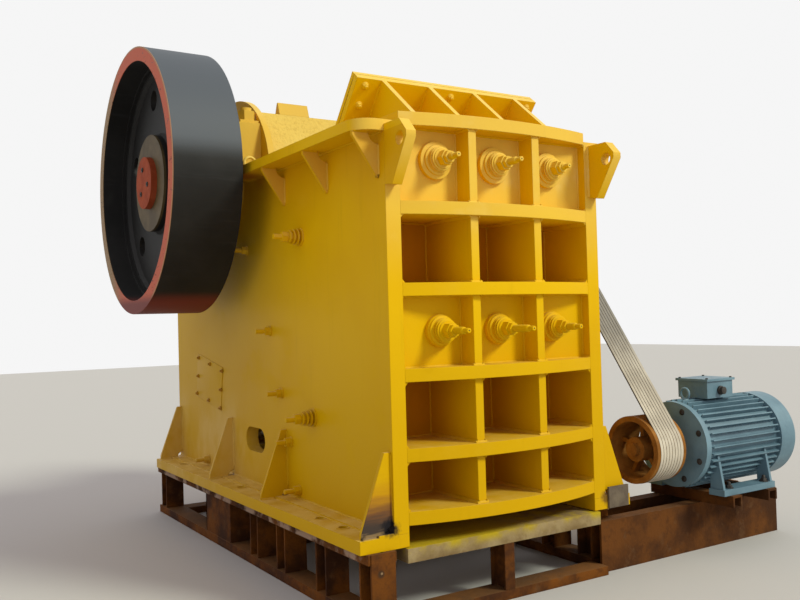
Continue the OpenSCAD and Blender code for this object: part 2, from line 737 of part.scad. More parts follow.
// Swing jaw plate on the front of the pitman
swing_top = 130;
swing_l = pitman_l - swing_top - 30;
module swing_jaw_plate() color("dimgray") translate([0, shaft_y, shaft_z - throw])
    rotate([-jaw_lean, 0, 0]) translate([0, 0, -swing_top - swing_l]) linear_extrude(swing_l)
        mirror([0, 1]) translate([0, head_r]) toothed_plate(jaw_t);

// Block on the top edge of the pitman's apron
block_x = [-0.358 * pitman_w, -0.158 * pitman_w];
block_h = 100;
block_crest = 14;
block_d = 105;
module head_block() color("gold") slab_x(block_x[0], block_x[1] - block_x[0]) pitman_frame()
    polygon([[apron_top, head_r], [apron_top + block_h, head_r], [apron_top + block_h, head_r - block_crest],
        [apron_top, head_r - block_d]]);

// Tension rod in the pitman's lug, with a washer at each end of its spring and a nut
rod_r = 32;
rod_end = 95;
rod_washer_r = 105;
rod_washer_t = 14;
rod_nut_r = 60;
rod_nut_t = 50;
spring_r = 85;
spring_y = body_l + 60;
spring_hole = 55;
spring_l = 180;
module tension_rod() color("silver") {
    along_y(0, lug_y, rod_z) cylinder(r = rod_r, h = spring_y + spring_l + rod_end - lug_y);
    for (y = [spring_y - rod_washer_t, spring_y + spring_l]) along_y(0, y, rod_z) difference() {
        cylinder(r = rod_washer_r, h = rod_washer_t);
        translate([0, 0, -1]) cylinder(r = rod_r + clear, h = rod_washer_t + 2);
    }
    along_y(0, spring_y + spring_l + rod_washer_t + clear, rod_z) difference() {
        cylinder(r = rod_nut_r, h = rod_nut_t, $fn = 6);
        translate([0, 0, -1]) cylinder(r = rod_r + clear, h = rod_nut_t + 2);
    }
}

// Spring between the two washers on the rod
module tension_spring() color("firebrick") along_y(0, spring_y, rod_z) difference() {
    cylinder(r = spring_r, h = spring_l);
    translate([0, 0, -1]) cylinder(r = spring_hole, h = spring_l + 2);
}

// Grooved pulley on the end of the motor's shaft, its rim on five arms
pulley_half = 130;
pulley_rim_t = 34;
pulley_hub_r = 78;
arms = 5;
arm_turn = 14;
arm_w = 26;
arm_x = [105, 150];
motor_shaft_r = 42;
motor_x = belt_x + pulley_half + 120;
module motor_pulley() color("sienna") along_x(belt_x - pulley_half, motor_y, motor_z) {
    inner = pulley_r - pulley_rim_t;
    difference() {
        union() {
            rotate_extrude($fn = 120) difference() {
                translate([inner, 0]) square([pulley_rim_t, 2 * pulley_half]);
                grooves(pulley_r, pulley_half);
            }
            for (i = [0 : arms - 1]) rotate(arm_turn + i * 360 / arms)
                translate([pulley_hub_r - lap, -arm_w / 2, arm_x[0]])
                    cube([inner - pulley_hub_r + 2 * lap, arm_w, arm_x[1] - arm_x[0]]);
            translate([0, 0, 30]) cylinder(r = pulley_hub_r, h = 2 * pulley_half - 50);
        }
        translate([0, 0, 29]) cylinder(r = motor_shaft_r + clear, h = 2 * pulley_half - 48);
    }
    cylinder(r = motor_shaft_r, h = motor_x + shaft_socket - belt_x + pulley_half);
}

// Motor: finned barrel between two end flanges, with bolted feet and its shaft end to the pulley
motor_r = 290;
barrel_r = motor_r - 35;
flange_l = 45;
shaft_socket = 30;
fins = 40;
fin_t = 8;
motor_foot_t = 40;
motor_foot_y = 254;
motor_foot_x = [110, motor_l - 130];
motor_rib_x = [120, motor_l - 160];
motor_rib_t = 20;
module motor() color("slategray") {
    along_x(motor_x, motor_y, motor_z) difference() {
        union() {
            cylinder(r = motor_r - 10, h = flange_l);
            cylinder(r = 120, h = flange_l + 15);
            translate([0, 0, flange_l]) cylinder(r = barrel_r, h = motor_l - flange_l);
            translate([0, 0, flange_l + 15]) linear_extrude(motor_l - flange_l - 30)
                for (i = [0 : fins - 1]) rotate(i * 360 / fins) translate([barrel_r - 5, -fin_t / 2])
                    square([motor_r - barrel_r + 5, fin_t]);
        }
        translate([0, 0, -1]) cylinder(r = motor_shaft_r + clear, h = shaft_socket + 10);
    }
    for (s = [-1, 1]) motor_foot(s);
}

// One long foot of the motor with two ribs up to the barrel
module motor_foot(s) {
    low = motor_z - motor_foot_h;
    block([motor_x + motor_foot_x[0], motor_x + motor_foot_x[1]],
        [motor_y + s * motor_foot_y - 60, motor_y + s * motor_foot_y + 60], [low, low + motor_foot_t]);
    for (x = motor_rib_x) slab_x(motor_x + x, motor_rib_t) translate([motor_y, 0]) polygon([
        [s * 200, low + motor_foot_t], [s * 300, low + motor_foot_t],
        [s * 262, motor_z - 60], [s * 200, motor_z - 60]]);
}

// Fan cowl on the motor's far end
cowl_l = 190;
cowl_bevel = 40;
module motor_cowl() color("slategray") along_x(motor_x + motor_l, motor_y, motor_z)
    rotate_extrude() polygon([[0, 0], [motor_r, 0], [motor_r, cowl_l - cowl_bevel],
        [motor_r - cowl_bevel, cowl_l], [0, cowl_l]]);

// Terminal box on top of the motor, with a wider lid
terminal_at = 220;
terminal_l = 260;
terminal_w = 240;
terminal_h = 130;
lid_t = 16;
lid_out = 12;
module terminal_box() color("slategray") translate([motor_x + terminal_at, motor_y, motor_z + motor_r]) {
    block([0, terminal_l], [-terminal_w / 2, terminal_w / 2], [0, terminal_h - lid_t]);
    block([-lid_out, terminal_l + lid_out], [-terminal_w / 2 - lid_out, terminal_w / 2 + lid_out],
        [terminal_h - lid_t, terminal_h]);
}

// Slide rails under the motor's feet, channels with their open side down
rail_h = 72;
rail_w = 90;
rail_t = 14;
rail_half = 340;
rail_x = [motor_x + 160, motor_x + motor_l - 240];
module motor_rails() color("brown") for (x = rail_x)
    translate([x, 0, motor_z - motor_foot_h - rail_h]) difference() {
        block([0, rail_w], [motor_y - rail_half, motor_y + rail_half], [0, rail_h]);
        block([rail_t, rail_w - rail_t], [motor_y - rail_half - 1, motor_y + rail_half + 1],
            [-1, rail_h - rail_t]);
    }

// Motor base: two channels along X on the floor, with ties and a post of square tube between them
channel_h = motor_z - motor_foot_h - rail_h;
channel_y = [30, 340];
channel_x = [base_x, foot_x];
channel_w = 95;
base_end = motor_x + motor_l + 190;
tie_h = 80;
tie_x = [belt_x, base_end - post_w];
module motor_base() color("saddlebrown") {
    for (i = [0, 1], y = channel_y[i]) {
        block([channel_x[i], base_end], [y, y + post_t], [0, channel_h]);
        for (z = [0, channel_h - post_t])
            block([channel_x[i], base_end], [y + post_t, y + channel_w], [z, z + post_t]);
    }
    for (x = tie_x)
        block([x, x + tie_h], [channel_y[0] + post_t, channel_y[1]], [post_t, post_t + tie_h]);
}

stand_side(0);  // stand_left
right_side() stand_side(140);  // stand_right
stand_front();
stand_rear();
front_sill();
side_plate();  // side_plate_left
right_side() side_plate();  // side_plate_right
foot();  // foot_left
right_side() foot();  // foot_right
top_flange();  // top_flange_left
right_side() top_flange();  // top_flange_right
lifting_lugs();
front_wall();
boss_walls();
front_ribs();
front_stiffeners();
feed_guard();
fixed_jaw_plate();
jaw_bolts();
cheek_plates();  // cheek_plates_left
right_side() cheek_plates();  // cheek_plates_right
cheek_bolts();  // cheek_bolts_left
right_side() cheek_bolts();  // cheek_bolts_right
toggle_beam();
union() {
    rear_wall();
    spring_cup();
}
toggle_plate();
bearing_housing();  // bearing_housing_left
right_side() bearing_housing();  // bearing_housing_right
bearing_cap();  // bearing_cap_left
right_side() bearing_cap();  // bearing_cap_right
eccentric_shaft();
flywheel();
drive_sheave();
end_disc();  // end_disc_left
right_side() end_disc();  // end_disc_right
pitman();
swing_jaw_plate();
head_block();
tension_rod();
tension_spring();
drive_belts();
motor_pulley();
motor();
motor_cowl();
terminal_box();
motor_rails();
motor_base();
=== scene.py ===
# Looks of a jaw crusher on its steel stand, in the order in which the machine is put together.
# Lengths are metres. X runs along the shaft to the belt side, Y to the rear and Z up from the floor.
import math
import random

import bmesh
import bpy
from mathutils import Matrix, Vector


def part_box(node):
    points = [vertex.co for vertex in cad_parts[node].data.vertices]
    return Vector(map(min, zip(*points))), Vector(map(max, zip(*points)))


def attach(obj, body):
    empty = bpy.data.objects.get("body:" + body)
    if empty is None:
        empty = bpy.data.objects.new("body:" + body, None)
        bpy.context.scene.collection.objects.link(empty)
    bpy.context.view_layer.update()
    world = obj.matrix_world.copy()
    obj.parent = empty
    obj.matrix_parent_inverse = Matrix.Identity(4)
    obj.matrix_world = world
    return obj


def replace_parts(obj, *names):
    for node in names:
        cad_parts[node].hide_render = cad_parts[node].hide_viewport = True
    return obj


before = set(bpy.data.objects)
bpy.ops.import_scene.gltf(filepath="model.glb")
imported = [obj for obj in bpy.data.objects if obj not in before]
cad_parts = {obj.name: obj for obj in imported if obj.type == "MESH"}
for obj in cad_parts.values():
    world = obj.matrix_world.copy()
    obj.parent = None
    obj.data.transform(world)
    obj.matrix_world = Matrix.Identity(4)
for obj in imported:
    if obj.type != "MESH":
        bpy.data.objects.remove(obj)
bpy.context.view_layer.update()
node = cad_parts
random.seed(7)

# Camera
# It stands where the photographer stood: to the front left, at about eye height, turned
# towards the front wall's left edge and tilted a little, as the photo's upright edges show.
eye = Vector((-3.0852, -3.8324, 1.5704))
yaw, pitch, roll = math.radians(32.13), math.radians(1.26), math.radians(-1.58)
lens, sensor, farthest = 39.15, 36.0, 200.0
camera = bpy.data.objects.new("camera", bpy.data.cameras.new("camera"))
bpy.context.scene.collection.objects.link(camera)
camera.data.lens = lens
camera.data.sensor_width = sensor
camera.data.clip_end = farthest
upright = math.pi / 2
camera.matrix_world = (Matrix.Translation(eye) @ Matrix.Rotation(-yaw, 4, "Z")
                       @ Matrix.Rotation(upright + pitch, 4, "X") @ Matrix.Rotation(roll, 4, "Z"))
bpy.context.scene.camera = camera


# Studio
# A pale concrete-grey floor, an even pale sky and one broad lamp from the front right,
# where the sun stood. The sky is white only where the camera or a gloss looks at it.
def put(tree, kind, sockets=None, **settings):
    made = tree.nodes.new(kind)
    for key, value in settings.items():
        setattr(made, key, value)
    for key, value in (sockets or {}).items():
        if isinstance(value, bpy.types.NodeSocket):
            tree.links.new(value, made.inputs[key])
        else:
            made.inputs[key].default_value = value
    return made


floor_size, floor_colour, floor_roughness = 60.0, (0.50, 0.49, 0.47, 1.0), 0.9
bm = bmesh.new()
bmesh.ops.create_grid(bm, x_segments=1, y_segments=1, size=floor_size / 2)
floor_mesh = bpy.data.meshes.new("floor")
bm.to_mesh(floor_mesh)
bm.free()
floor = bpy.data.objects.new("floor", floor_mesh)
bpy.context.scene.collection.objects.link(floor)
floor_plain = bpy.data.materials.new("floor_plain")
floor_plain.use_nodes = True
concrete = floor_plain.node_tree.nodes["Principled BSDF"].inputs
concrete["Base Color"].default_value = floor_colour
concrete["Roughness"].default_value = floor_roughness
floor.data.materials.append(floor_plain)

sky_colour, sky_strength = (1.0, 0.935, 0.95, 1.0), 0.70
seen_colour, seen_strength = (1.0, 1.0, 1.0, 1.0), 0.92
world = bpy.data.worlds.new("studio")
world.use_nodes = True
bpy.context.scene.world = world
sky = world.node_tree
sky.nodes.clear()
path = put(sky, "ShaderNodeLightPath")
direct = put(sky, "ShaderNodeMath", {0: path.outputs["Is Camera Ray"], 1: path.outputs["Is Glossy Ray"]},
             operation="MAXIMUM")
even = put(sky, "ShaderNodeBackground", {"Color": sky_colour, "Strength": sky_strength})
seen = put(sky, "ShaderNodeBackground", {"Color": seen_colour, "Strength": seen_strength})
both = put(sky, "ShaderNodeMixShader", {0: direct.outputs[0], 1: even.outputs[0], 2: seen.outputs[0]})
put(sky, "ShaderNodeOutputWorld", {"Surface": both.outputs[0]})

lamp_turn, lamp_height, lamp_spread = math.radians(33), math.radians(38), math.radians(14)
lamp_colour, lamp_strength = (0.97, 1.0, 0.84), 2.4
lamp = bpy.data.objects.new("lamp", bpy.data.lights.new("lamp", "SUN"))
bpy.context.scene.collection.objects.link(lamp)
lamp.data.energy = lamp_strength
lamp.data.angle = lamp_spread
lamp.data.color = lamp_colour
lamp.matrix_world = Matrix.Rotation(lamp_turn, 4, "Z") @ Matrix.Rotation(upright - lamp_height, 4, "X")
bpy.context.scene.view_settings.view_transform = "Standard"


# Stand
# Rolled beams under old red primer, mostly gone to rust, with pale scale on their upper sides. On
# each side a chord lies below the foot, set in a little from its edge, and one on the floor, with
# short I-beams welded between. One more beam, with an I-beam on it, crosses the front.
def finish(name, roughness, gloss, metallic=0.0):
    material = bpy.data.materials.new(name)
    material.use_nodes = True
    tree = material.node_tree
    tree.nodes.clear()
    shader = put(tree, "ShaderNodeBsdfPrincipled", {"Roughness": roughness, "Metallic": metallic,
                                                    "Specular IOR Level": gloss})
    put(tree, "ShaderNodeOutputMaterial", {"Surface": shader.outputs[0]})
    place = put(tree, "ShaderNodeTexCoord").outputs["Object"]
    return material, tree, shader, place


def clouds(tree, place, scale, detail, stretch=(1.0, 1.0, 1.0)):
    stretched = put(tree, "ShaderNodeMapping", {"Vector": place, "Scale": stretch})
    return put(tree, "ShaderNodeTexNoise", {"Vector": stretched.outputs[0], "Scale": scale,
                                            "Detail": detail, "Roughness": 0.6}).outputs["Fac"]


# A smooth fade: 0 where the value is begin, and 1 where it is full
def between(tree, value, begin, full):
    return put(tree, "ShaderNodeMapRange", {"Value": value, "From Min": begin, "From Max": full},
               interpolation_type="SMOOTHSTEP").outputs[0]


def combine(tree, kind, a, b):
    return put(tree, "ShaderNodeMath", {0: a, 1: b}, operation=kind, use_clamp=True).outputs[0]


def times(tree, *factors):
    product = factors[0]
    for factor in factors[1:]:
        product = combine(tree, "MULTIPLY", product, factor)
    return product


# Lays one colour over another, as thick as the amount says
def tint(tree, amount, under, over):
    mixed = put(tree, "ShaderNodeMix", {"Factor": amount}, data_type="RGBA")
    for socket, value in ((mixed.inputs[6], under), (mixed.inputs[7], over)):
        if isinstance(value, bpy.types.NodeSocket):
            tree.links.new(value, socket)
        else:
            socket.default_value = (*value, 1.0)
    return mixed.outputs[2]


def split(tree, vector):
    return put(tree, "ShaderNodeSeparateXYZ", {0: vector}).outputs


def unsigned(tree, value):
    return put(tree, "ShaderNodeMath", {0: value}, operation="ABSOLUTE").outputs[0]


def surface_normal(tree):
    return put(tree, "ShaderNodeNewGeometry").outputs["Normal"]


def upward(tree):
    return between(tree, split(tree, surface_normal(tree))["Z"], 0.55, 0.9)


def distance(tree, place, spot):
    return put(tree, "ShaderNodeVectorMath", {0: place, 1: spot}, operation="DISTANCE").outputs["Value"]


def near(tree, place, spot, core, reach):
    return between(tree, distance(tree, place, spot), reach, core)


# Grain in the surface, and worn edges where plates end sharply
def relief(tree, shader, height, depth, edge):
    soft = put(tree, "ShaderNodeBevel", {"Radius": edge}, samples=4).outputs[0]
    bump = put(tree, "ShaderNodeBump", {"Height": height, "Distance": depth, "Normal": soft})
    tree.links.new(bump.outputs[0], shader.inputs["Normal"])


def dress(material, *names):
    for name in names:
        node[name].material_slots[0].material = material


def rusty_steel(name, dark, rust, pale, settle, marks=None):
    material, tree, shader, place = finish(name, 0.85, 0.15)
    colour = tint(tree, between(tree, clouds(tree, place, 2.6, 5.0), 0.38, 0.62), dark, rust)
    pits = between(tree, clouds(tree, place, 18.0, 6.0), 0.5, 0.7)
    colour = tint(tree, times(tree, pits, 0.6), colour, dark)
    flakes = between(tree, clouds(tree, place, 9.0, 8.0), 0.58, 0.68)
    scale = combine(tree, "MAXIMUM", times(tree, upward(tree), settle), times(tree, flakes, 0.22))
    colour = tint(tree, scale, colour, pale)
    if marks:
        colour = marks(tree, place, colour)
    tree.links.new(colour, shader.inputs["Base Color"])
    relief(tree, shader, clouds(tree, place, 70.0, 8.0), 0.003, 0.004)
    return material


# Pale scale on the chords' outer faces, and one dark spot on the front post with a painted highlight at its
# core
def chord_marks(tree, place, colour):
    axes = split(tree, place)
    scaled = times(tree, between(tree, axes["Z"], 0.330, 0.345),
                   between(tree, unsigned(tree, axes["X"]), 0.907, 0.911),
                   between(tree, clouds(tree, place, 5.0, 6.0), 0.44, 0.56), 0.8)
    colour = tint(tree, scaled, colour, (0.40, 0.28, 0.20))
    # The first spot is dark; the second is a painted highlight at its core
    for spot, core, reach, strength, mark in (
            ((-0.850, -0.024, 0.287), 0.012, 0.026, 0.75, (0.035, 0.022, 0.012)),
            ((-0.846, -0.024, 0.290), 0.003, 0.009, 1.0, (0.26, 0.17, 0.09))):
        colour = tint(tree, times(tree, near(tree, place, spot, core, reach), strength), colour, mark)
    return colour


# A finished piece with no open face. It shades smoothly over edges that bend less than the angle.
def hold(name, bm, material, body="frame", bend=None):
    bmesh.ops.holes_fill(bm, edges=[edge for edge in bm.edges if edge.is_boundary], sides=0)
    bmesh.ops.recalc_face_normals(bm, faces=bm.faces)
    mesh = bpy.data.meshes.new(name)
    bm.to_mesh(mesh)
    bm.free()
    if bend is not None:
        mesh.polygons.foreach_set("use_smooth", [True] * len(mesh.polygons))
        mesh.set_sharp_from_angle(angle=math.radians(bend))
    made = bpy.data.objects.new(name, mesh)
    bpy.context.scene.collection.objects.link(made)
    made.data.materials.append(material)
    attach(made, body)
    return made


def only(kind, parts):
    return [part for part in parts if isinstance(part, kind)]


def slab(bm, outline, push, soften=0.0):
    face = bm.faces.new([bm.verts.new(point) for point in outline])
    grown = bmesh.ops.extrude_face_region(bm, geom=[face])["geom"]
    bmesh.ops.translate(bm, verts=only(bmesh.types.BMVert, grown), vec=push)
    if soften:
        edges = list(face.edges) + only(bmesh.types.BMEdge, grown)
        bmesh.ops.bevel(bm, geom=edges, offset=soften, segments=2, profile=0.5, affect="EDGES", material=-1)


def block(bm, low, high, soften=0.0):
    slab(bm, [(low[0], low[1], low[2]), (high[0], low[1], low[2]), (high[0], high[1], low[2]),
              (low[0], high[1], low[2])], (0.0, 0.0, high[2] - low[2]), soften)


rolled_edge, cut_edge = 0.004, 0.002


def i_post(bm, x0, x1, y, deep, low, high, thick):
    middle = (x0 + x1) / 2
    for front in (y, y + deep - thick):
        block(bm, (x0, front, low), (x1, front + thick, high), cut_edge)
    block(bm, (middle - thick / 2, y + thick, low), (middle + thick / 2, y + deep - thick, high))


stand_rust = rusty_steel("stand_rust", (0.040, 0.013, 0.004), (0.150, 0.047, 0.004), (0.19, 0.095, 0.035),
                         0.45, chord_marks)
dress(stand_rust, "stand_rear")
base_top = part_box("stand_rear")[1][2]
chord_low, floor_chord, stand_end = 0.335, 0.060, 3.54
chord_out, chord_in, chord_setback = 0.920, 0.752, 0.006
post_out, post_in, post_deep, post_thick, floor_lip = 0.905, 0.762, 0.13, 0.014, 0.004
later_posts, box_ends = (0.478, 1.016, 1.434, 3.36), (1.93, 2.40)
for side, start, name in ((-1, -0.024, "left"), (1, 0.140, "right")):
    bm = bmesh.new()
    for inner, outer, low, high in ((chord_in, chord_out, chord_low, base_top),
                                    (post_in - floor_lip, post_out + floor_lip, 0.0, floor_chord)):
        ends = sorted((side * inner, side * outer))
        block(bm, (ends[0], start + chord_setback, low), (ends[1], stand_end, high), rolled_edge)
    x0, x1 = sorted((side * post_in, side * post_out))
    i_post(bm, x0, x1, start, post_deep, floor_chord, base_top, post_thick)
    for y in later_posts:
        i_post(bm, x0, x1, y, post_deep, floor_chord, chord_low, post_thick)
    cover = sorted((side * post_out, side * (post_out - post_thick)))
    block(bm, (cover[0], box_ends[0], floor_chord), (cover[1], box_ends[1], chord_low), cut_edge)
    for y in box_ends:
        block(bm, (x0, y - post_thick, floor_chord), (x1, y, chord_low), cut_edge)
    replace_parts(hold("stand_beams_" + name, bm, stand_rust, bend=40), "stand_" + name)

beam_low, beam_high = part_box("stand_front")
floor_beam, front_post_x, front_post_back, front_post_thick = 0.055, (-0.052, 0.016), 0.11, 0.010
bm = bmesh.new()
block(bm, (-post_in, beam_low[1], 0.0), (beam_high[0], beam_high[1], floor_beam), rolled_edge)
i_post(bm, *front_post_x, beam_low[1], front_post_back - beam_low[1], floor_beam, beam_high[2],
       front_post_thick)
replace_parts(hold("stand_cross_beam", bm, stand_rust, bend=40), "stand_front")


# Sill
# A flat bar lies across the stand under the front wall and the side plates' front ends, and a
# plate behind it closes the slot below the lowest rib. Both are weathered steel that caught the
# spray of the yellow coat, most of it on the left.
def yellow_spray(tree, place, colour):
    axes = split(tree, place)
    on_top = times(tree, upward(tree), between(tree, axes["X"], 0.35, -0.15))
    patches = between(tree, clouds(tree, place, 4.5, 4.0), 0.38, 0.58)
    caught = times(tree, combine(tree, "MAXIMUM", patches, on_top), between(tree, axes["Z"], 0.325, 0.384))
    return tint(tree, caught, colour, (0.40, 0.29, 0.01))


sill_paint = rusty_steel("sill_paint", (0.19, 0.125, 0.050), (0.34, 0.255, 0.125), (0.45, 0.36, 0.24),
                         0.10, yellow_spray)
sill_low, sill_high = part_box("front_sill")
sill_over, sill_top, sill_edge = 0.024, 0.386, 0.003
bm = bmesh.new()
block(bm, (sill_low[0] - sill_over, sill_low[1], sill_low[2]),
      (sill_high[0] + sill_over, sill_high[1], sill_top), sill_edge)
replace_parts(hold("sill_bar", bm, sill_paint, bend=40), "front_sill")

side_low, side_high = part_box("side_plate_right")
side_in, side_out = side_low[0], side_high[0]
shelf_top, shelf_thick, shelf_lap, shelf_back = sill_top - 0.001, 0.010, 0.004, 0.45
bm = bmesh.new()
block(bm, (-side_in, sill_high[1] - shelf_lap, shelf_top - shelf_thick), (side_in, shelf_back, shelf_top))
hold("sill_shelf", bm, sill_paint)

# Motor base
# Two channels on the floor carry the motor on two slide rails, which let it be pushed back to
# tighten the belts. They are rolled steel without paint, evenly rusty.
base_rust = rusty_steel("base_rust", (0.050, 0.017, 0.004), (0.120, 0.040, 0.006), (0.20, 0.10, 0.04), 0.3)
dress(base_rust, "motor_rails", "motor_base")

# Yellow plate work
# The body is welded from thick plate and sprayed in one coat of chrome yellow. The coat is paler towards the
# top, with a painted highlight on high faces turned to the sun. It is brown inside the pockets and under the
# flanges as painted shade, browner at the rear partly as painted shade, dusty at the rear, burnt beside two
# late welds, with painted shade in two snipe holes.
clean_yellow, deep_yellow, yellow_dust_and_sheen = (0.82, 0.50, 0.0), (0.75, 0.425, 0.0), (0.80, 0.615, 0.225)
sun_side = (0.0, -0.7, 0.7)

# Each tint below has its fades, each an axis with the place where it begins and the place where it is
# full, and then its strength and its colour. The blown dust is a stain; the pockets' and the flange's tints
# are painted shade, and the rear's is partly dust, partly painted shade.
# Browner towards the rear: partly dust, partly painted shade from the wheel
rear_dust_and_shade = ((("Y", 0.9, 2.5),), 0.42, (0.52, 0.33, 0.045))
# Painted shade: brown deep in the pockets between the ribs
pocket_shade = ((("Y", 0.05, 0.36), ("Y", 0.60, 0.45), ("Z", 2.60, 2.56), ("across", 0.665, 0.655)),
                0.6, (0.50, 0.20, 0.0))
blown_dust = ((("patches", 0.42, 0.66), ("Y", 1.5, 2.3), ("Z", 1.15, 0.75)), 0.5, (0.68, 0.49, 0.17))
flange_shade = ((("Z", 2.05, 2.50), ("Z", 2.552, 2.548), ("across", 0.748, 0.750), ("Y", 2.2, 1.7)),
                0.42, (0.56, 0.25, 0.0))


def tint_zone(tree, scales, colour, zone):
    fades, strength, shade = zone
    amount = times(tree, *[between(tree, scales[name], begin, full) for name, begin, full in fades], strength)
    return tint(tree, amount, colour, shade)


def aged(tree, place, axes, clean, deep):
    colour = tint(tree, between(tree, clouds(tree, place, 0.9, 3.0), 0.35, 0.7), clean, deep)
    low = between(tree, axes["Z"], 2.4, 0.45)
    colour = tint(tree, times(tree, low, 0.7), colour, tuple(c * 0.66 for c in deep))
    runs = between(tree, clouds(tree, place, 4.0, 5.0, (3.2, 3.2, 0.30)), 0.58, 0.82)
    return tint(tree, times(tree, runs, 0.30), colour, tuple(c * 0.62 for c in deep))


# Chalky dust over the coat, and a painted highlight in the dust's colour on high faces that turn towards the
# sun
def chalked_and_sunlit(tree, axes, colour, dust_and_sheen, chalk, chalk_and_sheen):
    colour = tint(tree, times(tree, chalk, chalk_and_sheen * 0.5), colour, (dust_and_sheen[0], dust_and_sheen[1], dust_and_sheen[2] * 0.3))
    sunny = put(tree, "ShaderNodeVectorMath", {0: surface_normal(tree), 1: sun_side}, operation="DOT_PRODUCT")
    high = times(tree, between(tree, axes["Z"], 1.7, 2.4), between(tree, sunny.outputs["Value"], 0.15, 0.5))
    patchy = combine(tree, "ADD", times(tree, chalk, 0.5), 0.5)
    return tint(tree, times(tree, high, patchy, 3.6 * chalk_and_sheen), colour, dust_and_sheen)


def dusty(tree, place, axes, across, colour, dust_and_sheen):
    high, outside = between(tree, axes["Z"], 2.3, 2.6), between(tree, across, 0.745, 0.755)
    open_air = combine(tree, "MAXIMUM", high, outside)
    settled = times(tree, upward(tree), between(tree, clouds(tree, place, 7.0, 6.0), 0.2, 0.7),
                    combine(tree, "MAXIMUM", open_air, 0.45))
    colour = tint(tree, times(tree, settled, 0.55), colour, dust_and_sheen)
    specks = between(tree, clouds(tree, place, 60.0, 3.0), 0.75, 0.78)
    return tint(tree, times(tree, specks, 0.6), colour, (0.14, 0.065, 0.01))


def yellow_paint(name, clean, deep, dust_and_sheen, chalk_and_sheen=0.16, grain=0.0010, marks=None):
    material, tree, shader, place = finish(name, 0.5, 0.08)
    axes = split(tree, place)
    across = unsigned(tree, axes["X"])
    chalk = between(tree, clouds(tree, place, 3.6, 6.0), 0.52, 0.8)
    patches = clouds(tree, place, 2.4, 5.0, (1.0, 1.0, 0.6))
    colour = aged(tree, place, axes, clean, deep)
    colour = chalked_and_sunlit(tree, axes, colour, dust_and_sheen, chalk, chalk_and_sheen)
    scales = {"Y": axes["Y"], "Z": axes["Z"], "across": across, "patches": patches}
    for zone in (rear_dust_and_shade, pocket_shade, blown_dust, flange_shade):
        colour = tint_zone(tree, scales, colour, zone)
    colour = dusty(tree, place, axes, across, colour, dust_and_sheen)
    if marks:
        colour = marks(tree, place, axes, colour)
    tree.links.new(colour, shader.inputs["Base Color"])
    dull = put(tree, "ShaderNodeMapRange", {"Value": chalk, "To Min": 0.46, "To Max": 0.70})
    tree.links.new(dull.outputs[0], shader.inputs["Roughness"])
    relief(tree, shader, clouds(tree, place, 34.0, 5.0), grain, 0.006)
    return material


# Heat ran up the front face of the left foot's first gusset from the weld at its root. A band has
# the height where it is full, the height where it ends, its strength and its colour.
heat_bands = ((0.63, 0.79, 0.60, (0.40, 0.15, 0.012)), (0.57, 0.69, 0.85, (0.12, 0.048, 0.030)),
              (0.52, 0.60, 0.85, (0.034, 0.034, 0.034)), (0.478, 0.500, 0.75, (0.30, 0.20, 0.09)))
# Each burn, rust patch and painted shade in a snipe hole has its place, its core's radius, its whole reach,
# its strength and its colour.
soot, rust_orange, rust_dark = (0.014, 0.012, 0.014), (0.42, 0.13, 0.012), (0.16, 0.06, 0.015)
snipe_shade, singed, snipe_y = (0.12, 0.05, 0.008), (0.10, 0.045, 0.015), (1.300, 2.230)
burns_and_shade = [((-0.764, 0.050, 0.494), 0.046, 0.078, 1.0, soot),
         ((-0.935, 0.015, 0.470), 0.004, 0.026, 0.9, soot),
         ((0.758, 0.0, 0.46), 0.02, 0.06, 0.8, singed),
         ((-0.88, 1.62, 2.56), 0.05, 0.19, 0.9, rust_orange),
         ((-0.93, 1.79, 2.58), 0.03, 0.10, 0.8, rust_dark),
         ((-0.755, 0.07, 2.322), 0.004, 0.020, 0.7, soot)]
# Painted shade: dark brown in the two snipe holes of the left foot's gussets
burns_and_shade += [((-0.768, y, 0.474), 0.012, 0.036, 0.85, snipe_shade) for y in snipe_y]


def moved(tree, kind, value, factor, shift):
    return put(tree, kind, {0: value, 1: factor, 2: shift}, operation="MULTIPLY_ADD").outputs[0]


def scorch_and_shade(tree, place, axes, colour):
    drift = moved(tree, "ShaderNodeMath", clouds(tree, place, 9.0, 6.0, (0.6, 1.0, 5.0)), 0.10, -0.05)
    level = put(tree, "ShaderNodeMath", {0: axes["Z"], 1: drift}, operation="ADD").outputs[0]
    gusset = times(tree, between(tree, axes["X"], -0.750, -0.756), between(tree, axes["Y"], 0.0205, 0.0195),
                   between(tree, axes["Z"], 0.4605, 0.4625), between(tree, axes["Y"], 0.0, 0.01))
    for full, end, strength, mark_colour in heat_bands:
        colour = tint(tree, times(tree, gusset, between(tree, level, end, full), strength), colour, mark_colour)
    noise = put(tree, "ShaderNodeTexNoise", {"Vector": place, "Scale": 30.0, "Detail": 5.0}).outputs["Color"]
    ragged = moved(tree, "ShaderNodeVectorMath", noise, (0.06, 0.06, 0.06), (-0.03, -0.03, -0.03))
    frayed = put(tree, "ShaderNodeVectorMath", {0: place, 1: ragged}, operation="ADD").outputs[0]
    for spot, core, reach, strength, mark_colour in burns_and_shade:
        colour = tint(tree, times(tree, near(tree, frayed, spot, core, reach), strength), colour, mark_colour)
    return colour


plate_yellow = yellow_paint("plate_yellow", clean_yellow, deep_yellow, yellow_dust_and_sheen, marks=scorch_and_shade)
dress(plate_yellow, "side_plate_left", "side_plate_right", "foot_left", "foot_right", "top_flange_left",
      "top_flange_right", "boss_walls", "front_ribs", "feed_guard", "toggle_beam", "rear_wall",
      "bearing_housing_left", "bearing_housing_right", "bearing_cap_left", "bearing_cap_right",
      "head_block", "jaw_bolts", "cheek_bolts_left", "cheek_bolts_right")

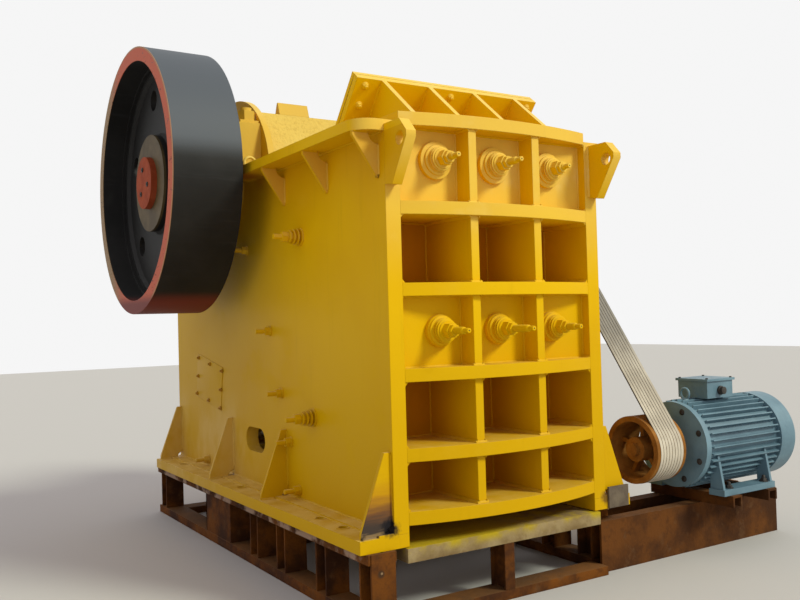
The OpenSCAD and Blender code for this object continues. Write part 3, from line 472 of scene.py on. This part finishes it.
# Front wall
# The thick plate behind the ribs takes a brown form of the yellow coat, a painted shade for the depth of the
# pockets. A skirt of the same plate, in the same brown, is welded below it and stands on the sill's shelf.
wall_shade_brown = yellow_paint("wall_shade_brown", (0.50, 0.185, 0.0), (0.40, 0.13, 0.0), (0.55, 0.30, 0.04))
dress(wall_shade_brown, "front_wall")
skirt_y, skirt_rise = (0.385, 0.405), 0.075
bm = bmesh.new()
block(bm, (-side_in, skirt_y[0], shelf_top), (side_in, skirt_y[1], base_top + skirt_rise), cut_edge)
hold("wall_skirt", bm, wall_shade_brown)

# Lifting lugs
# A lug of thick plate is welded to the front edge of each side plate, with a round hole for a
# shackle. It stands out little further than its hole needs.
lug_thick, lug_y, lug_z, lug_hole, hole_steps = 0.06, -0.15, 2.485, 0.036, 32
lug_outline = [(0.0, 2.585), (-0.150, 2.585), (-0.212, 2.515), (-0.212, 2.485), (-0.068, 2.262), (0.0, 2.272)]


def turns(count):
    return [2.0 * math.pi * i / count for i in range(count)]


bm = bmesh.new()
for side in (-1, 1):
    x = side * side_out - (lug_thick if side > 0 else 0.0)
    rim = [bm.verts.new((x, y, z)) for y, z in lug_outline]
    bore = [bm.verts.new((x, lug_y + lug_hole * math.cos(a), lug_z + lug_hole * math.sin(a)))
            for a in turns(hole_steps)]
    loops = [bm.edges.new((loop[i - 1], loop[i])) for loop in (rim, bore) for i in range(len(loop))]
    flat = bmesh.ops.triangle_fill(bm, use_beauty=True, edges=loops)["geom"]
    grown = bmesh.ops.extrude_face_region(bm, geom=only(bmesh.types.BMFace, flat))["geom"]
    bmesh.ops.translate(bm, verts=only(bmesh.types.BMVert, grown), vec=(lug_thick, 0.0, 0.0))
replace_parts(hold("lug_plates", bm, plate_yellow, bend=35), "lifting_lugs")

# Stiffeners
# Upright plates stand in two lines between the bowed ribs and are welded to them. They end a
# little behind the ribs' front edges, and reach back to the wall or to the jaw bolts' boss wall.
wall_y, boss_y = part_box("front_wall")[0][1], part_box("boss_walls")[0][1]
stiff_x, stiff_half, stiff_front = 0.2244, 0.026, -0.060
rib_low, rib_thick, boss_rows = [0.108, 0.434, 0.850, 1.300, 1.731], 0.07, (2, 4)
deck_under, deck_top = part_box("front_wall")[1][2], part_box("front_ribs")[1][2]
row_tops = [base_top + low for low in rib_low[1:]] + [deck_under]
# A row of pockets has its floor, its ceiling and whether the boss wall makes it shallow
rows = [(base_top + low + rib_thick, top, i in boss_rows)
        for i, (low, top) in enumerate(zip(rib_low, row_tops))]
bm = bmesh.new()
for x in (-stiff_x, stiff_x):
    for z0, z1, shallow in rows:
        block(bm, (x - stiff_half, stiff_front, z0), (x + stiff_half, boss_y if shallow else wall_y, z1))
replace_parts(hold("stiffener_plates", bm, plate_yellow), "front_stiffeners")

# Weld seams
# Every plate of the body is joined by a heavy bead. A bead here is a ribbon along a joint
# with the two plates' directions as its sides, and its size wavers as a hand-laid one does.
bead_sink, bead_waver, fine_bead = 0.001, 0.16, 0.009


def bead(bm, start, end, side_a, side_b, size, step=0.014, bulge=0.56):
    start, end, side_a, side_b = Vector(start), Vector(end), Vector(side_a), Vector(side_b)
    along = end - start
    root = start - (side_a + side_b) * bead_sink
    corners = (Vector((0.0, 0.0, 0.0)), side_a, (side_a + side_b) * bulge, side_b)
    seam = bmesh.new()
    slab(seam, [root + corner * size for corner in corners], along)
    runs = [edge for edge in seam.edges if abs((edge.verts[0].co - edge.verts[1].co).dot(along)) > 1e-6]
    cuts = max(1, int(along.length / step))
    bmesh.ops.subdivide_edges(seam, edges=runs, cuts=cuts, use_grid_fill=True)

    # The operators leave the corners in no fixed order, so they are sorted before the random draws
    def order(vert):
        reach = vert.co - root
        ring = reach.dot(along) / along.length_squared * (cuts + 1)
        return round(ring), round(reach.dot(side_a) / size, 2), round(reach.dot(side_b) / size, 2)

    for vert in sorted(seam.verts, key=order):
        foot = root + along * ((vert.co - root).dot(along) / along.length_squared)
        vert.co = foot + (vert.co - foot) * (1.0 + random.uniform(-bead_waver, bead_waver))
    ribbon = bpy.data.meshes.new("seam")
    seam.to_mesh(ribbon)
    seam.free()
    bm.from_mesh(ribbon)
    bpy.data.meshes.remove(ribbon)


columns = [(-side_in, -stiff_x - stiff_half), (-stiff_x + stiff_half, stiff_x - stiff_half),
           (stiff_x + stiff_half, side_in)]
# A deep pocket's bead comes first and a shallow pocket's second
side_beads, stiff_beads, pocket_step, pocket_bulge = (0.024, 0.015), (0.017, 0.014), 0.026, 0.46
side_start, stiff_start, nose_over, nose_bead = 0.003, stiff_front - 0.006, 0.012, 0.013
bm = bmesh.new()
for x0, x1 in columns:
    for z0, z1, shallow in rows:
        back = boss_y if shallow else wall_y
        for x, inward in ((x0, 1), (x1, -1)):
            at_side = abs(x) == side_in
            front = side_start if at_side else stiff_start
            size = (side_beads if at_side else stiff_beads)[shallow]
            for z, lift in ((z0, 1), (z1, -1)):
                bead(bm, (x, front, z), (x, back, z), (inward, 0, 0), (0, 0, lift), size, pocket_step,
                     pocket_bulge)
            bead(bm, (x, back, z0), (x, back, z1), (inward, 0, 0), (0, -1, 0), fine_bead)
        for z, lift in ((z0, 1), (z1, -1)):
            bead(bm, (x0, back, z), (x1, back, z), (0, 0, lift), (0, -1, 0), fine_bead)
for x in (-stiff_x, stiff_x):
    for z0, z1, shallow in rows:
        bead(bm, (x - stiff_half - nose_over, stiff_front, z0), (x + stiff_half + nose_over, stiff_front, z0),
             (0, -1, 0), (0, 0, 1), nose_bead)
hold("pocket_welds", bm, plate_yellow, bend=70)

foot_top, doubler_out, doubler_thick, foot_seam = side_low[2], 0.842, 0.012, (0.06, 3.44)
flange_under, flange_seam = 2.55, (0.02, 1.79)
foot_gussets, flange_gussets, gusset_half = (0.030, 1.300, 2.230, 3.400), (0.070, 0.650, 1.240), 0.011
foot_gusset_z, foot_gusset_x = (0.53, 0.875), (0.85, 0.932)
flange_gusset_z, flange_gusset_x = (2.33, 2.485), (0.815, 0.90)
lug_seam, lug_bead, broad_bead, root_bead, doubler_bead = (2.275, 2.58), 0.013, 0.010, 0.011, 0.007
bm = bmesh.new()
for side in (-1, 1):
    out, doubler = side * side_out, side * doubler_out
    bead(bm, (out, foot_seam[0], foot_top + doubler_thick), (out, foot_seam[1], foot_top + doubler_thick),
         (side, 0, 0), (0, 0, 1), broad_bead)
    bead(bm, (doubler, foot_seam[0], foot_top), (doubler, foot_seam[1], foot_top), (side, 0, 0), (0, 0, 1),
         doubler_bead)
    bead(bm, (out, flange_seam[0], flange_under), (out, flange_seam[1], flange_under), (side, 0, 0),
         (0, 0, -1), broad_bead)
    for y in foot_gussets:
        for face in (-1, 1):
            edge = y + face * gusset_half
            bead(bm, (out, edge, foot_gusset_z[0]), (out, edge, foot_gusset_z[1]), (side, 0, 0),
                 (0, face, 0), fine_bead)
            bead(bm, (side * foot_gusset_x[0], edge, foot_top), (side * foot_gusset_x[1], edge, foot_top),
                 (0, face, 0), (0, 0, 1), root_bead)
    for y in flange_gussets:
        for face in (-1, 1):
            edge = y + face * gusset_half
            bead(bm, (out, edge, flange_gusset_z[0]), (out, edge, flange_gusset_z[1]), (side, 0, 0),
                 (0, face, 0), broad_bead)
            bead(bm, (side * flange_gusset_x[0], edge, flange_under),
                 (side * flange_gusset_x[1], edge, flange_under), (0, face, 0), (0, 0, -1), fine_bead)
    inner = side * (side_out - lug_thick)
    bead(bm, (inner, 0.0, lug_seam[0]), (inner, 0.0, lug_seam[1]), (-side, 0, 0), (0, -1, 0), lug_bead)
hold("plate_welds", bm, plate_yellow, bend=70)

guard_slope = math.radians(50)
guard_up = Vector((0.0, -math.cos(guard_slope), math.sin(guard_slope)))
guard_out = Vector((0.0, -math.sin(guard_slope), -math.cos(guard_slope)))
guard_foot = Vector((0.0, 0.6518, deck_top))
guard_half, guard_gussets, guard_bead = 0.016, (-0.4838, -0.1637, 0.1637, 0.4838), 0.012
deck_seam, guard_seam = (0.10, 0.63), (0.02, 0.34)
bm = bmesh.new()
bead(bm, guard_foot + Vector((-side_in, 0, 0)), guard_foot + Vector((side_in, 0, 0)), (0, -1, 0), guard_up,
     guard_bead)
for x in guard_gussets:
    for face in (-1, 1):
        edge = x + face * guard_half
        bead(bm, (edge, deck_seam[0], deck_top), (edge, deck_seam[1], deck_top), (face, 0, 0), (0, 0, 1),
             fine_bead)
        foot = guard_foot + Vector((edge, 0, 0))
        bead(bm, foot + guard_up * guard_seam[0], foot + guard_up * guard_seam[1], (face, 0, 0), guard_out,
             fine_bead)
hold("guard_welds", bm, plate_yellow, bend=70)

# Packing in the guard
# A strip of rusty sheet packs out the wear liner. It is squeezed between the guard's sloping
# plate and the liner behind it, and is held by the liner's bolts alone.
pack_near, pack_thick, pack_low, pack_high, pack_half = 0.0425, 0.005, 0.02, 0.330, side_in - 0.002
bm = bmesh.new()
outline = [guard_foot - guard_out * pack_near + guard_up * up + Vector((x, 0, 0))
           for x, up in ((-pack_half, pack_low), (pack_half, pack_low), (pack_half, pack_high),
                         (-pack_half, pack_high))]
slab(bm, outline, -guard_out * pack_thick)
hold("guard_packing", bm, base_rust)


# Bolts of the body
# Hexagon nuts on washers, with the stud's end standing out of each, hold the guard's liner. They
# were painted over with the body. A washer ring lies around each anchor hole of the feet.
def facing(origin, direction, spin=0.0):
    turn = Vector((0.0, 0.0, 1.0)).rotation_difference(Vector(direction)).to_matrix().to_4x4()
    return Matrix.Translation(Vector(origin)) @ turn @ Matrix.Rotation(spin, 4, "Z")


def lathe(bm, place, profile, steps=28, closed=False):
    line = [bm.verts.new(place @ Vector((radius, 0.0, height))) for radius, height in profile]
    edges = [bm.edges.new(pair) for pair in zip(line, line[1:] + (line[:1] if closed else []))]
    axis = place.to_3x3() @ Vector((0.0, 0.0, 1.0))
    bmesh.ops.spin(bm, geom=line + edges, cent=place.translation, axis=axis, angle=2.0 * math.pi, steps=steps,
                   use_merge=True)


# Nut, stud and washer are each a radius and a height
def bolt(bm, origin, direction, nut, stud, washer=None):
    place = facing(origin, direction, random.uniform(0.0, 1.0))
    if washer:
        wide, high = washer
        lathe(bm, place, ((wide, -bead_sink), (wide, high * 0.8), (wide * 0.96, high)))
    wide, high = nut
    lathe(bm, place, ((wide, -bead_sink), (wide, high * 0.86), (wide * 0.88, high)), steps=6)
    if stud:
        thin, end = stud
        lathe(bm, place, ((thin, high * 0.5), (thin, end * 0.92), (thin * 0.8, end)), steps=16)


liner_nut, liner_stud, liner_washer = (0.019, 0.018), (0.011, 0.030), (0.024, 0.004)
liner_bolts = ((-0.597, 0.323), (-0.597, 0.200), (0.0, 0.323), (0.597, 0.323), (0.597, 0.200))
anchor_x, anchor_y = 0.873, (0.326, 0.600, 1.780, 3.010)
ring_out, ring_in, ring_thick = 0.040, 0.0265, 0.003
anchor_ring = [(ring_out, -bead_sink), (ring_out, ring_thick), (ring_in, ring_thick), (ring_in, -bead_sink)]
bm = bmesh.new()
for x, up in liner_bolts:
    bolt(bm, guard_foot + Vector((x, 0, 0)) + guard_up * up, guard_out, liner_nut, liner_stud, liner_washer)
for side in (-1, 1):
    for y in anchor_y:
        lathe(bm, facing((side * anchor_x, y, foot_top), (0, 0, 1)), anchor_ring, closed=True)
hold("body_bolts", bm, plate_yellow, bend=40)

# Toggle seat's guides
# The toggle seat slides between guides inside the body. A thin plate outside each side plate
# shows where they are, and eight bolts go through it. Their nuts have lost the yellow.
guide_thick, guide_nut, guide_stud, guide_shift = 0.005, (0.015, 0.010), (0.008, 0.020), 0.012
guide_plate = [(2.403, 0.855), (2.950, 0.950), (3.002, 0.610), (2.456, 0.527)]
guides = [(2.926, 0.917), (2.673, 0.874), (2.419, 0.829), (2.946, 0.771), (2.449, 0.688), (2.977, 0.632),
          (2.714, 0.592), (2.470, 0.549)]
bm = bmesh.new()
for side in (-1, 1):
    slab(bm, [(side * (side_out - bead_sink), y, base_top + z) for y, z in guide_plate],
         (side * (guide_thick + bead_sink), 0, 0), cut_edge)
hold("guide_plates", bm, plate_yellow, bend=40)
bm = bmesh.new()
for side in (-1, 1):
    for y, z in guides:
        bolt(bm, (side * (side_out + guide_thick), y - guide_shift, base_top + z), (side, 0, 0), guide_nut,
             guide_stud)
hold("guide_bolts", bm, wall_shade_brown, bend=40)


# Jaw plates and toggle
# The two toothed jaw plates, the cheek plates beside them and the toggle plate are raw
# manganese-steel castings, bolted or wedged into the body and worn bright in patches.
def bare_metal(name, light, dark, roughness, metallic, grain, gloss=0.4):
    material, tree, shader, place = finish(name, roughness, gloss, metallic)
    colour = tint(tree, between(tree, clouds(tree, place, grain, 6.0), 0.35, 0.7), dark, light)
    tree.links.new(colour, shader.inputs["Base Color"])
    relief(tree, shader, clouds(tree, place, grain * 12.0, 5.0), 0.002, 0.003)
    return material


dress(bare_metal("cast_jaw", (0.26, 0.23, 0.20), (0.12, 0.10, 0.085), 0.6, 0.5, 4.0), "fixed_jaw_plate",
      "swing_jaw_plate", "toggle_plate", "cheek_plates_left", "cheek_plates_right")

# Jaw bolt ends
# Six long studs pull the fixed jaw plate to the wall. Each has a thread cut on both of its
# steps, and a small centre drilled in the thinner end, where it was turned. The centre is drawn as a dark
# cap, a painted shade for the hole.
dark_steel = bare_metal("dark_steel", (0.055, 0.048, 0.042), (0.025, 0.021, 0.018), 0.55, 0.3, 14.0)
stud_x, stud_z = (-0.4, 0.0, 0.4), (base_top + 1.112, base_top + 2.035)
stud_long = ((0.280, 0.325, 0.265), (0.235, 0.265, 0.212))
thick_stud, thick_from, thick_left, thick_pitch = 0.0185, 0.162, 0.048, 0.0055
thin_stud, thin_from, thin_left, thin_pitch = 0.0128, 0.036, 0.004, 0.0045
centre_wide, centre_narrow, centre_sink, centre_proud = 0.0042, 0.0036, 0.001, 0.0008
tips = [(facing((x, boss_y, z), (0, -1, 0)), length) for z, lengths in zip(stud_z, stud_long)
        for x, length in zip(stud_x, lengths)]


def threaded(bm, place, radius, low, high, pitch):
    count = int((high - low) / pitch)
    teeth = [(radius * (1.10 if i % 2 else 0.97), low + pitch * i / 2) for i in range(2 * count + 1)]
    lathe(bm, place, teeth, steps=20)


bm = bmesh.new()
for place, length in tips:
    threaded(bm, place, thick_stud, thick_from, length - thick_left, thick_pitch)
    threaded(bm, place, thin_stud, length - thin_from, length - thin_left, thin_pitch)
hold("jaw_bolt_threads", bm, plate_yellow, bend=50)
# The drilled centres are dark caps: painted shade in the holes
bm = bmesh.new()
for place, length in tips:
    lathe(bm, place, ((centre_wide, length - centre_sink), (centre_narrow, length + centre_proud)), steps=12)
hold("jaw_bolt_centre_shades", bm, dark_steel)

# Shaft and tension rod
# The eccentric shaft and the rod that draws the pitman's foot back are turned steel with a
# film of oil. The body hides most of both.
turned_steel = bare_metal("turned_steel", (0.5, 0.49, 0.46), (0.28, 0.26, 0.23), 0.35, 0.9, 9.0)
dress(turned_steel, "eccentric_shaft", "tension_rod")


# Pitman
# The swinging jaw is one big steel casting that hangs on the shaft. Its skin is rough under a
# paler yellow, and dust and rust have smeared its apron.
def smears(tree, place, axes, colour):
    patches = between(tree, clouds(tree, place, 2.6, 3.0), 0.40, 0.60)
    smeared = times(tree, between(tree, clouds(tree, place, 44.0, 9.0), 0.50, 0.66), patches, 0.30)
    return tint(tree, smeared, colour, (0.40, 0.22, 0.02))


cast_yellow = yellow_paint("cast_yellow", (0.88, 0.62, 0.08), (0.76, 0.48, 0.03), (0.90, 0.74, 0.28), 0.2,
                           0.0080, smears)
dress(cast_yellow, "pitman")

# Ring eyes
# A ring of round bar stands on each top flange in front of the bearing, where the spare
# lifting eye is kept. It is welded on and painted like the pitman.
eye_x, eye_y, eye_z, eye_radius, eye_bar, bar_sides = 0.80, 1.668, 2.61, 0.042, 0.010, 10


def ring_eye(bm, place, radius, bar):
    lathe(bm, place, [(radius + bar * math.cos(a), bar * math.sin(a)) for a in turns(bar_sides)], closed=True)


bm = bmesh.new()
for side in (-1, 1):
    ring_eye(bm, facing((side * eye_x, eye_y, eye_z + eye_radius), (0, 1, 0)), eye_radius, eye_bar)
hold("ring_eyes", bm, cast_yellow, bend=60)

# Bare plate at the right foot
# A plate of mill-scaled steel stands against the front end of the right foot. There is no paint
# on it, as if it had been tacked on late.
plate_low, plate_high = (0.768, -0.013, 0.392), (0.932, 0.001, 0.520)
mill_scale = bare_metal("mill_scale", (0.16, 0.125, 0.085), (0.095, 0.07, 0.05), 0.8, 0.0, 8.0, 0.2)
bm = bmesh.new()
block(bm, plate_low, plate_high, cut_edge)
hold("bare_plate", bm, mill_scale, bend=40)

# Wheels
# Cast iron under a near-black coat that shines a little. The left wheel's outer rim face is
# picked out in red and scratched, with a painted highlight along its outer edge, and its hub face is left
# olive-grey.
# The rims' tops carry a painted bluish reflection of the sky, and the left wheel's foot is dull red, a
# painted reflection of the ground.
wheel_low, wheel_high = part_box("flywheel")
shaft_line = Vector((0.0, (wheel_low[1] + wheel_high[1]) / 2, (wheel_low[2] + wheel_high[2]) / 2))
wheel_edge, hub_edge, hub_reach = wheel_low[0], -1.29, 0.345
wheel_black, wheel_worn = (0.0075, 0.0072, 0.0070), (0.015, 0.0145, 0.014)
wheel_streak, wheel_sky_sheen = (0.050, 0.052, 0.055), (0.088, 0.102, 0.122)
hub_dark, hub_light = (0.068, 0.046, 0.017), (0.120, 0.084, 0.034)
rim_red, rim_tan = (0.50, 0.095, 0.038), (0.27, 0.17, 0.075)
rim_edge_highlight, ground_glow_red = (0.36, 0.25, 0.12), (0.16, 0.022, 0.014)


def wheel_paint(name):
    material, tree, shader, place = finish(name, 0.58, 0.25)
    axes = split(tree, place)
    flat = put(tree, "ShaderNodeCombineXYZ", {"X": 0.0, "Y": axes["Y"], "Z": axes["Z"]}).outputs[0]
    away = distance(tree, flat, shaft_line)
    colour = tint(tree, between(tree, clouds(tree, place, 2.2, 5.0), 0.35, 0.7), wheel_black, wheel_worn)
    streaks = between(tree, clouds(tree, place, 7.0, 6.0, (0.25, 4.0, 4.0)), 0.56, 0.8)
    colour = tint(tree, times(tree, streaks, 0.22), colour, wheel_streak)
    # Painted reflection: the top of the rim's outer face is tinted bluish grey for the sky
    sky_sheen = times(tree, between(tree, axes["Z"], 2.60, 2.76), between(tree, away, 0.84, 0.90), 0.85)
    colour = tint(tree, sky_sheen, colour, wheel_sky_sheen)
    hub_face = between(tree, axes["X"], hub_edge + 0.012, hub_edge)
    hub = times(tree, between(tree, away, hub_reach + 0.004, hub_reach), hub_face)
    olive = tint(tree, between(tree, clouds(tree, place, 6.0, 6.0), 0.35, 0.7), hub_dark, hub_light)
    colour = tint(tree, hub, colour, olive)
    rim = between(tree, axes["X"], wheel_edge + 0.004, wheel_edge + 0.002)
    scratches = between(tree, clouds(tree, place, 16.0, 8.0, (1.0, 1.0, 3.0)), 0.60, 0.66)
    kept = combine(tree, "SUBTRACT", 1.0, times(tree, scratches, 0.6))
    faded = tint(tree, between(tree, axes["Y"], 2.50, 2.95), rim_red, rim_tan)
    colour = tint(tree, times(tree, rim, kept), colour, faded)
    # Painted highlight: a pale tan ring along the outer edge of the rim face
    edge_glint = times(tree, rim, between(tree, away, 0.912, 0.917))
    colour = tint(tree, times(tree, edge_glint, 0.7), colour, rim_edge_highlight)
    # Painted reflection: the wheel's lowest part is tinted dull red for light thrown up from the ground
    foot = times(tree, between(tree, axes["Z"], 1.80, 1.72), between(tree, axes["X"], -0.9, -1.0))
    colour = tint(tree, foot, colour, ground_glow_red)
    tree.links.new(colour, shader.inputs["Base Color"])
    relief(tree, shader, clouds(tree, place, 30.0, 5.0, (0.4, 1.0, 1.0)), 0.0006, 0.004)
    return material


dress(wheel_paint("wheel_black"), "flywheel", "drive_sheave")

# End plates
# A round plate in red primer closes each end of the shaft, held by three socket screws that turn
# with it. The tension rod's spring has the same primer.
disc_red = bare_metal("disc_red", (0.39, 0.080, 0.030), (0.27, 0.048, 0.016), 0.65, 0.0, 7.0, 0.08)
dress(disc_red, "tension_spring", "end_disc_left", "end_disc_right")
disc_face, screw_orbit, screw_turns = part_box("end_disc_right")[1][0], 0.095, (80, 193, 310)
screw_head = ((0.017, -bead_sink), (0.017, 0.007), (0.010, 0.007), (0.009, 0.002))
bm = bmesh.new()
for side in (-1, 1):
    for a in map(math.radians, screw_turns):
        spot = Vector((side * disc_face, screw_orbit * math.cos(a), screw_orbit * math.sin(a))) + shaft_line
        lathe(bm, facing(spot, (side, 0, 0)), screw_head, steps=20)
hold("end_plate_screws", bm, dark_steel, "rotor", bend=40)


# Belts
# Eight rubber V-belts run side by side from the wheel to the motor. Each has a pale worn back
# with the dust of the yard on it, grey towards the top, and dark sides.
def belt_rubber(name):
    material, tree, shader, place = finish(name, 0.8, 0.2)
    worn = between(tree, clouds(tree, place, 5.0, 5.0), 0.35, 0.7)
    colour = tint(tree, worn, (0.42, 0.37, 0.29), (0.60, 0.54, 0.43))
    high = between(tree, split(tree, place)["Z"], 0.95, 1.6)
    colour = tint(tree, times(tree, high, 0.8), colour, (0.17, 0.165, 0.155))
    sideways = unsigned(tree, split(tree, surface_normal(tree))["X"])
    colour = tint(tree, between(tree, sideways, 0.3, 0.6), colour, (0.07, 0.062, 0.055))
    tree.links.new(colour, shader.inputs["Base Color"])
    return material


dress(belt_rubber("belt_rubber"), "drive_belts")

# Motor pulley
# A grooved casting on the motor's shaft. It was machined, left bare and has gone orange-brown.
# Its spokes and hub can be seen from the front left.
pulley_rust = bare_metal("pulley_rust", (0.35, 0.150, 0.028), (0.20, 0.078, 0.014), 0.75, 0.0, 7.0, 0.12)
dress(pulley_rust, "motor_pulley")

# Motor
# A ribbed cast housing in grey-blue enamel. Its dark fittings are the cover's bolts on the drive
# end, the bolts that clamp its feet to the slide rails and the box's lid screws and cable gland. The grille
# of slots in the cowl is drawn as dark bars on its end, a painted shade for the openings. A ring on top lifts
# it.
motor_blue = bare_metal("motor_blue", (0.16, 0.27, 0.33), (0.10, 0.18, 0.23), 0.45, 0.0, 3.0)
dress(motor_blue, "motor", "motor_cowl", "terminal_box")
motor_left, cowl_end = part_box("motor")[0][0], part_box("motor_cowl")[1][0]
motor_y, motor_z = 0.125, 0.693
cover_bolts, cover_orbit, cover_nut, cover_washer = 8, 0.235, (0.015, 0.012), (0.020, 0.003)
motor_foot_top, rail_lines, clamp_y = 0.418, (1.7045, 2.0645), 0.275
clamp_nut, clamp_stud, clamp_washer = (0.022, 0.020), (0.012, 0.042), (0.030, 0.004)
lid_inset, lid_screw, gland_up, gland_inset = 0.02, (0.009, 0.007), 0.05, 0.012
gland_profile = ((0.030, -bead_sink), (0.030, 0.012), (0.025, 0.014), (0.025, 0.034), (0.019, 0.036))
slots, slot_gap, slot_half, slot_sink, slot_proud, grille_radius = 9, 0.045, 0.006, 0.003, 0.001, 0.22
lift_x, lift_z, lift_radius, lift_bar, lift_root = 1.64, 1.018, 0.034, 0.009, 0.965
lift_shank = ((0.026, 0.0), (0.026, 0.018), (0.016, 0.024))
bm = bmesh.new()
for a in turns(cover_bolts):
    a += math.pi / cover_bolts
    spot = (motor_left, motor_y + cover_orbit * math.cos(a), motor_z + cover_orbit * math.sin(a))
    bolt(bm, spot, (-1, 0, 0), cover_nut, None, cover_washer)
for x in rail_lines:
    for y in (motor_y - clamp_y, motor_y + clamp_y):
        bolt(bm, (x, y, motor_foot_top), (0, 0, 1), clamp_nut, clamp_stud, clamp_washer)
box_low, box_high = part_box("terminal_box")
for x in (box_low[0] + lid_inset, box_high[0] - lid_inset):
    for y in (box_low[1] + lid_inset, box_high[1] - lid_inset):
        bolt(bm, (x, y, box_high[2]), (0, 0, 1), lid_screw, None)
gland = facing(((box_low[0] + box_high[0]) / 2, box_low[1] + gland_inset, box_low[2] + gland_up), (0, -1, 0))
lathe(bm, gland, gland_profile, steps=24)
# Painted shade: dark bars stand for the cowl's slots
for i in range(slots):
    aside = slot_gap * (i - slots // 2)
    tall = math.sqrt(grille_radius ** 2 - aside ** 2)
    block(bm, (cowl_end - slot_sink, motor_y + aside - slot_half, motor_z - tall),
          (cowl_end + slot_proud, motor_y + aside + slot_half, motor_z + tall))
hold("motor_fittings", bm, dark_steel, bend=40)
bm = bmesh.new()
ring_eye(bm, facing((lift_x, motor_y, lift_z), (1, 0, 0)), lift_radius, lift_bar)
lathe(bm, facing((lift_x, motor_y, lift_root), (0, 0, 1)), lift_shank, steps=20)
hold("motor_eye", bm, motor_blue, bend=60)
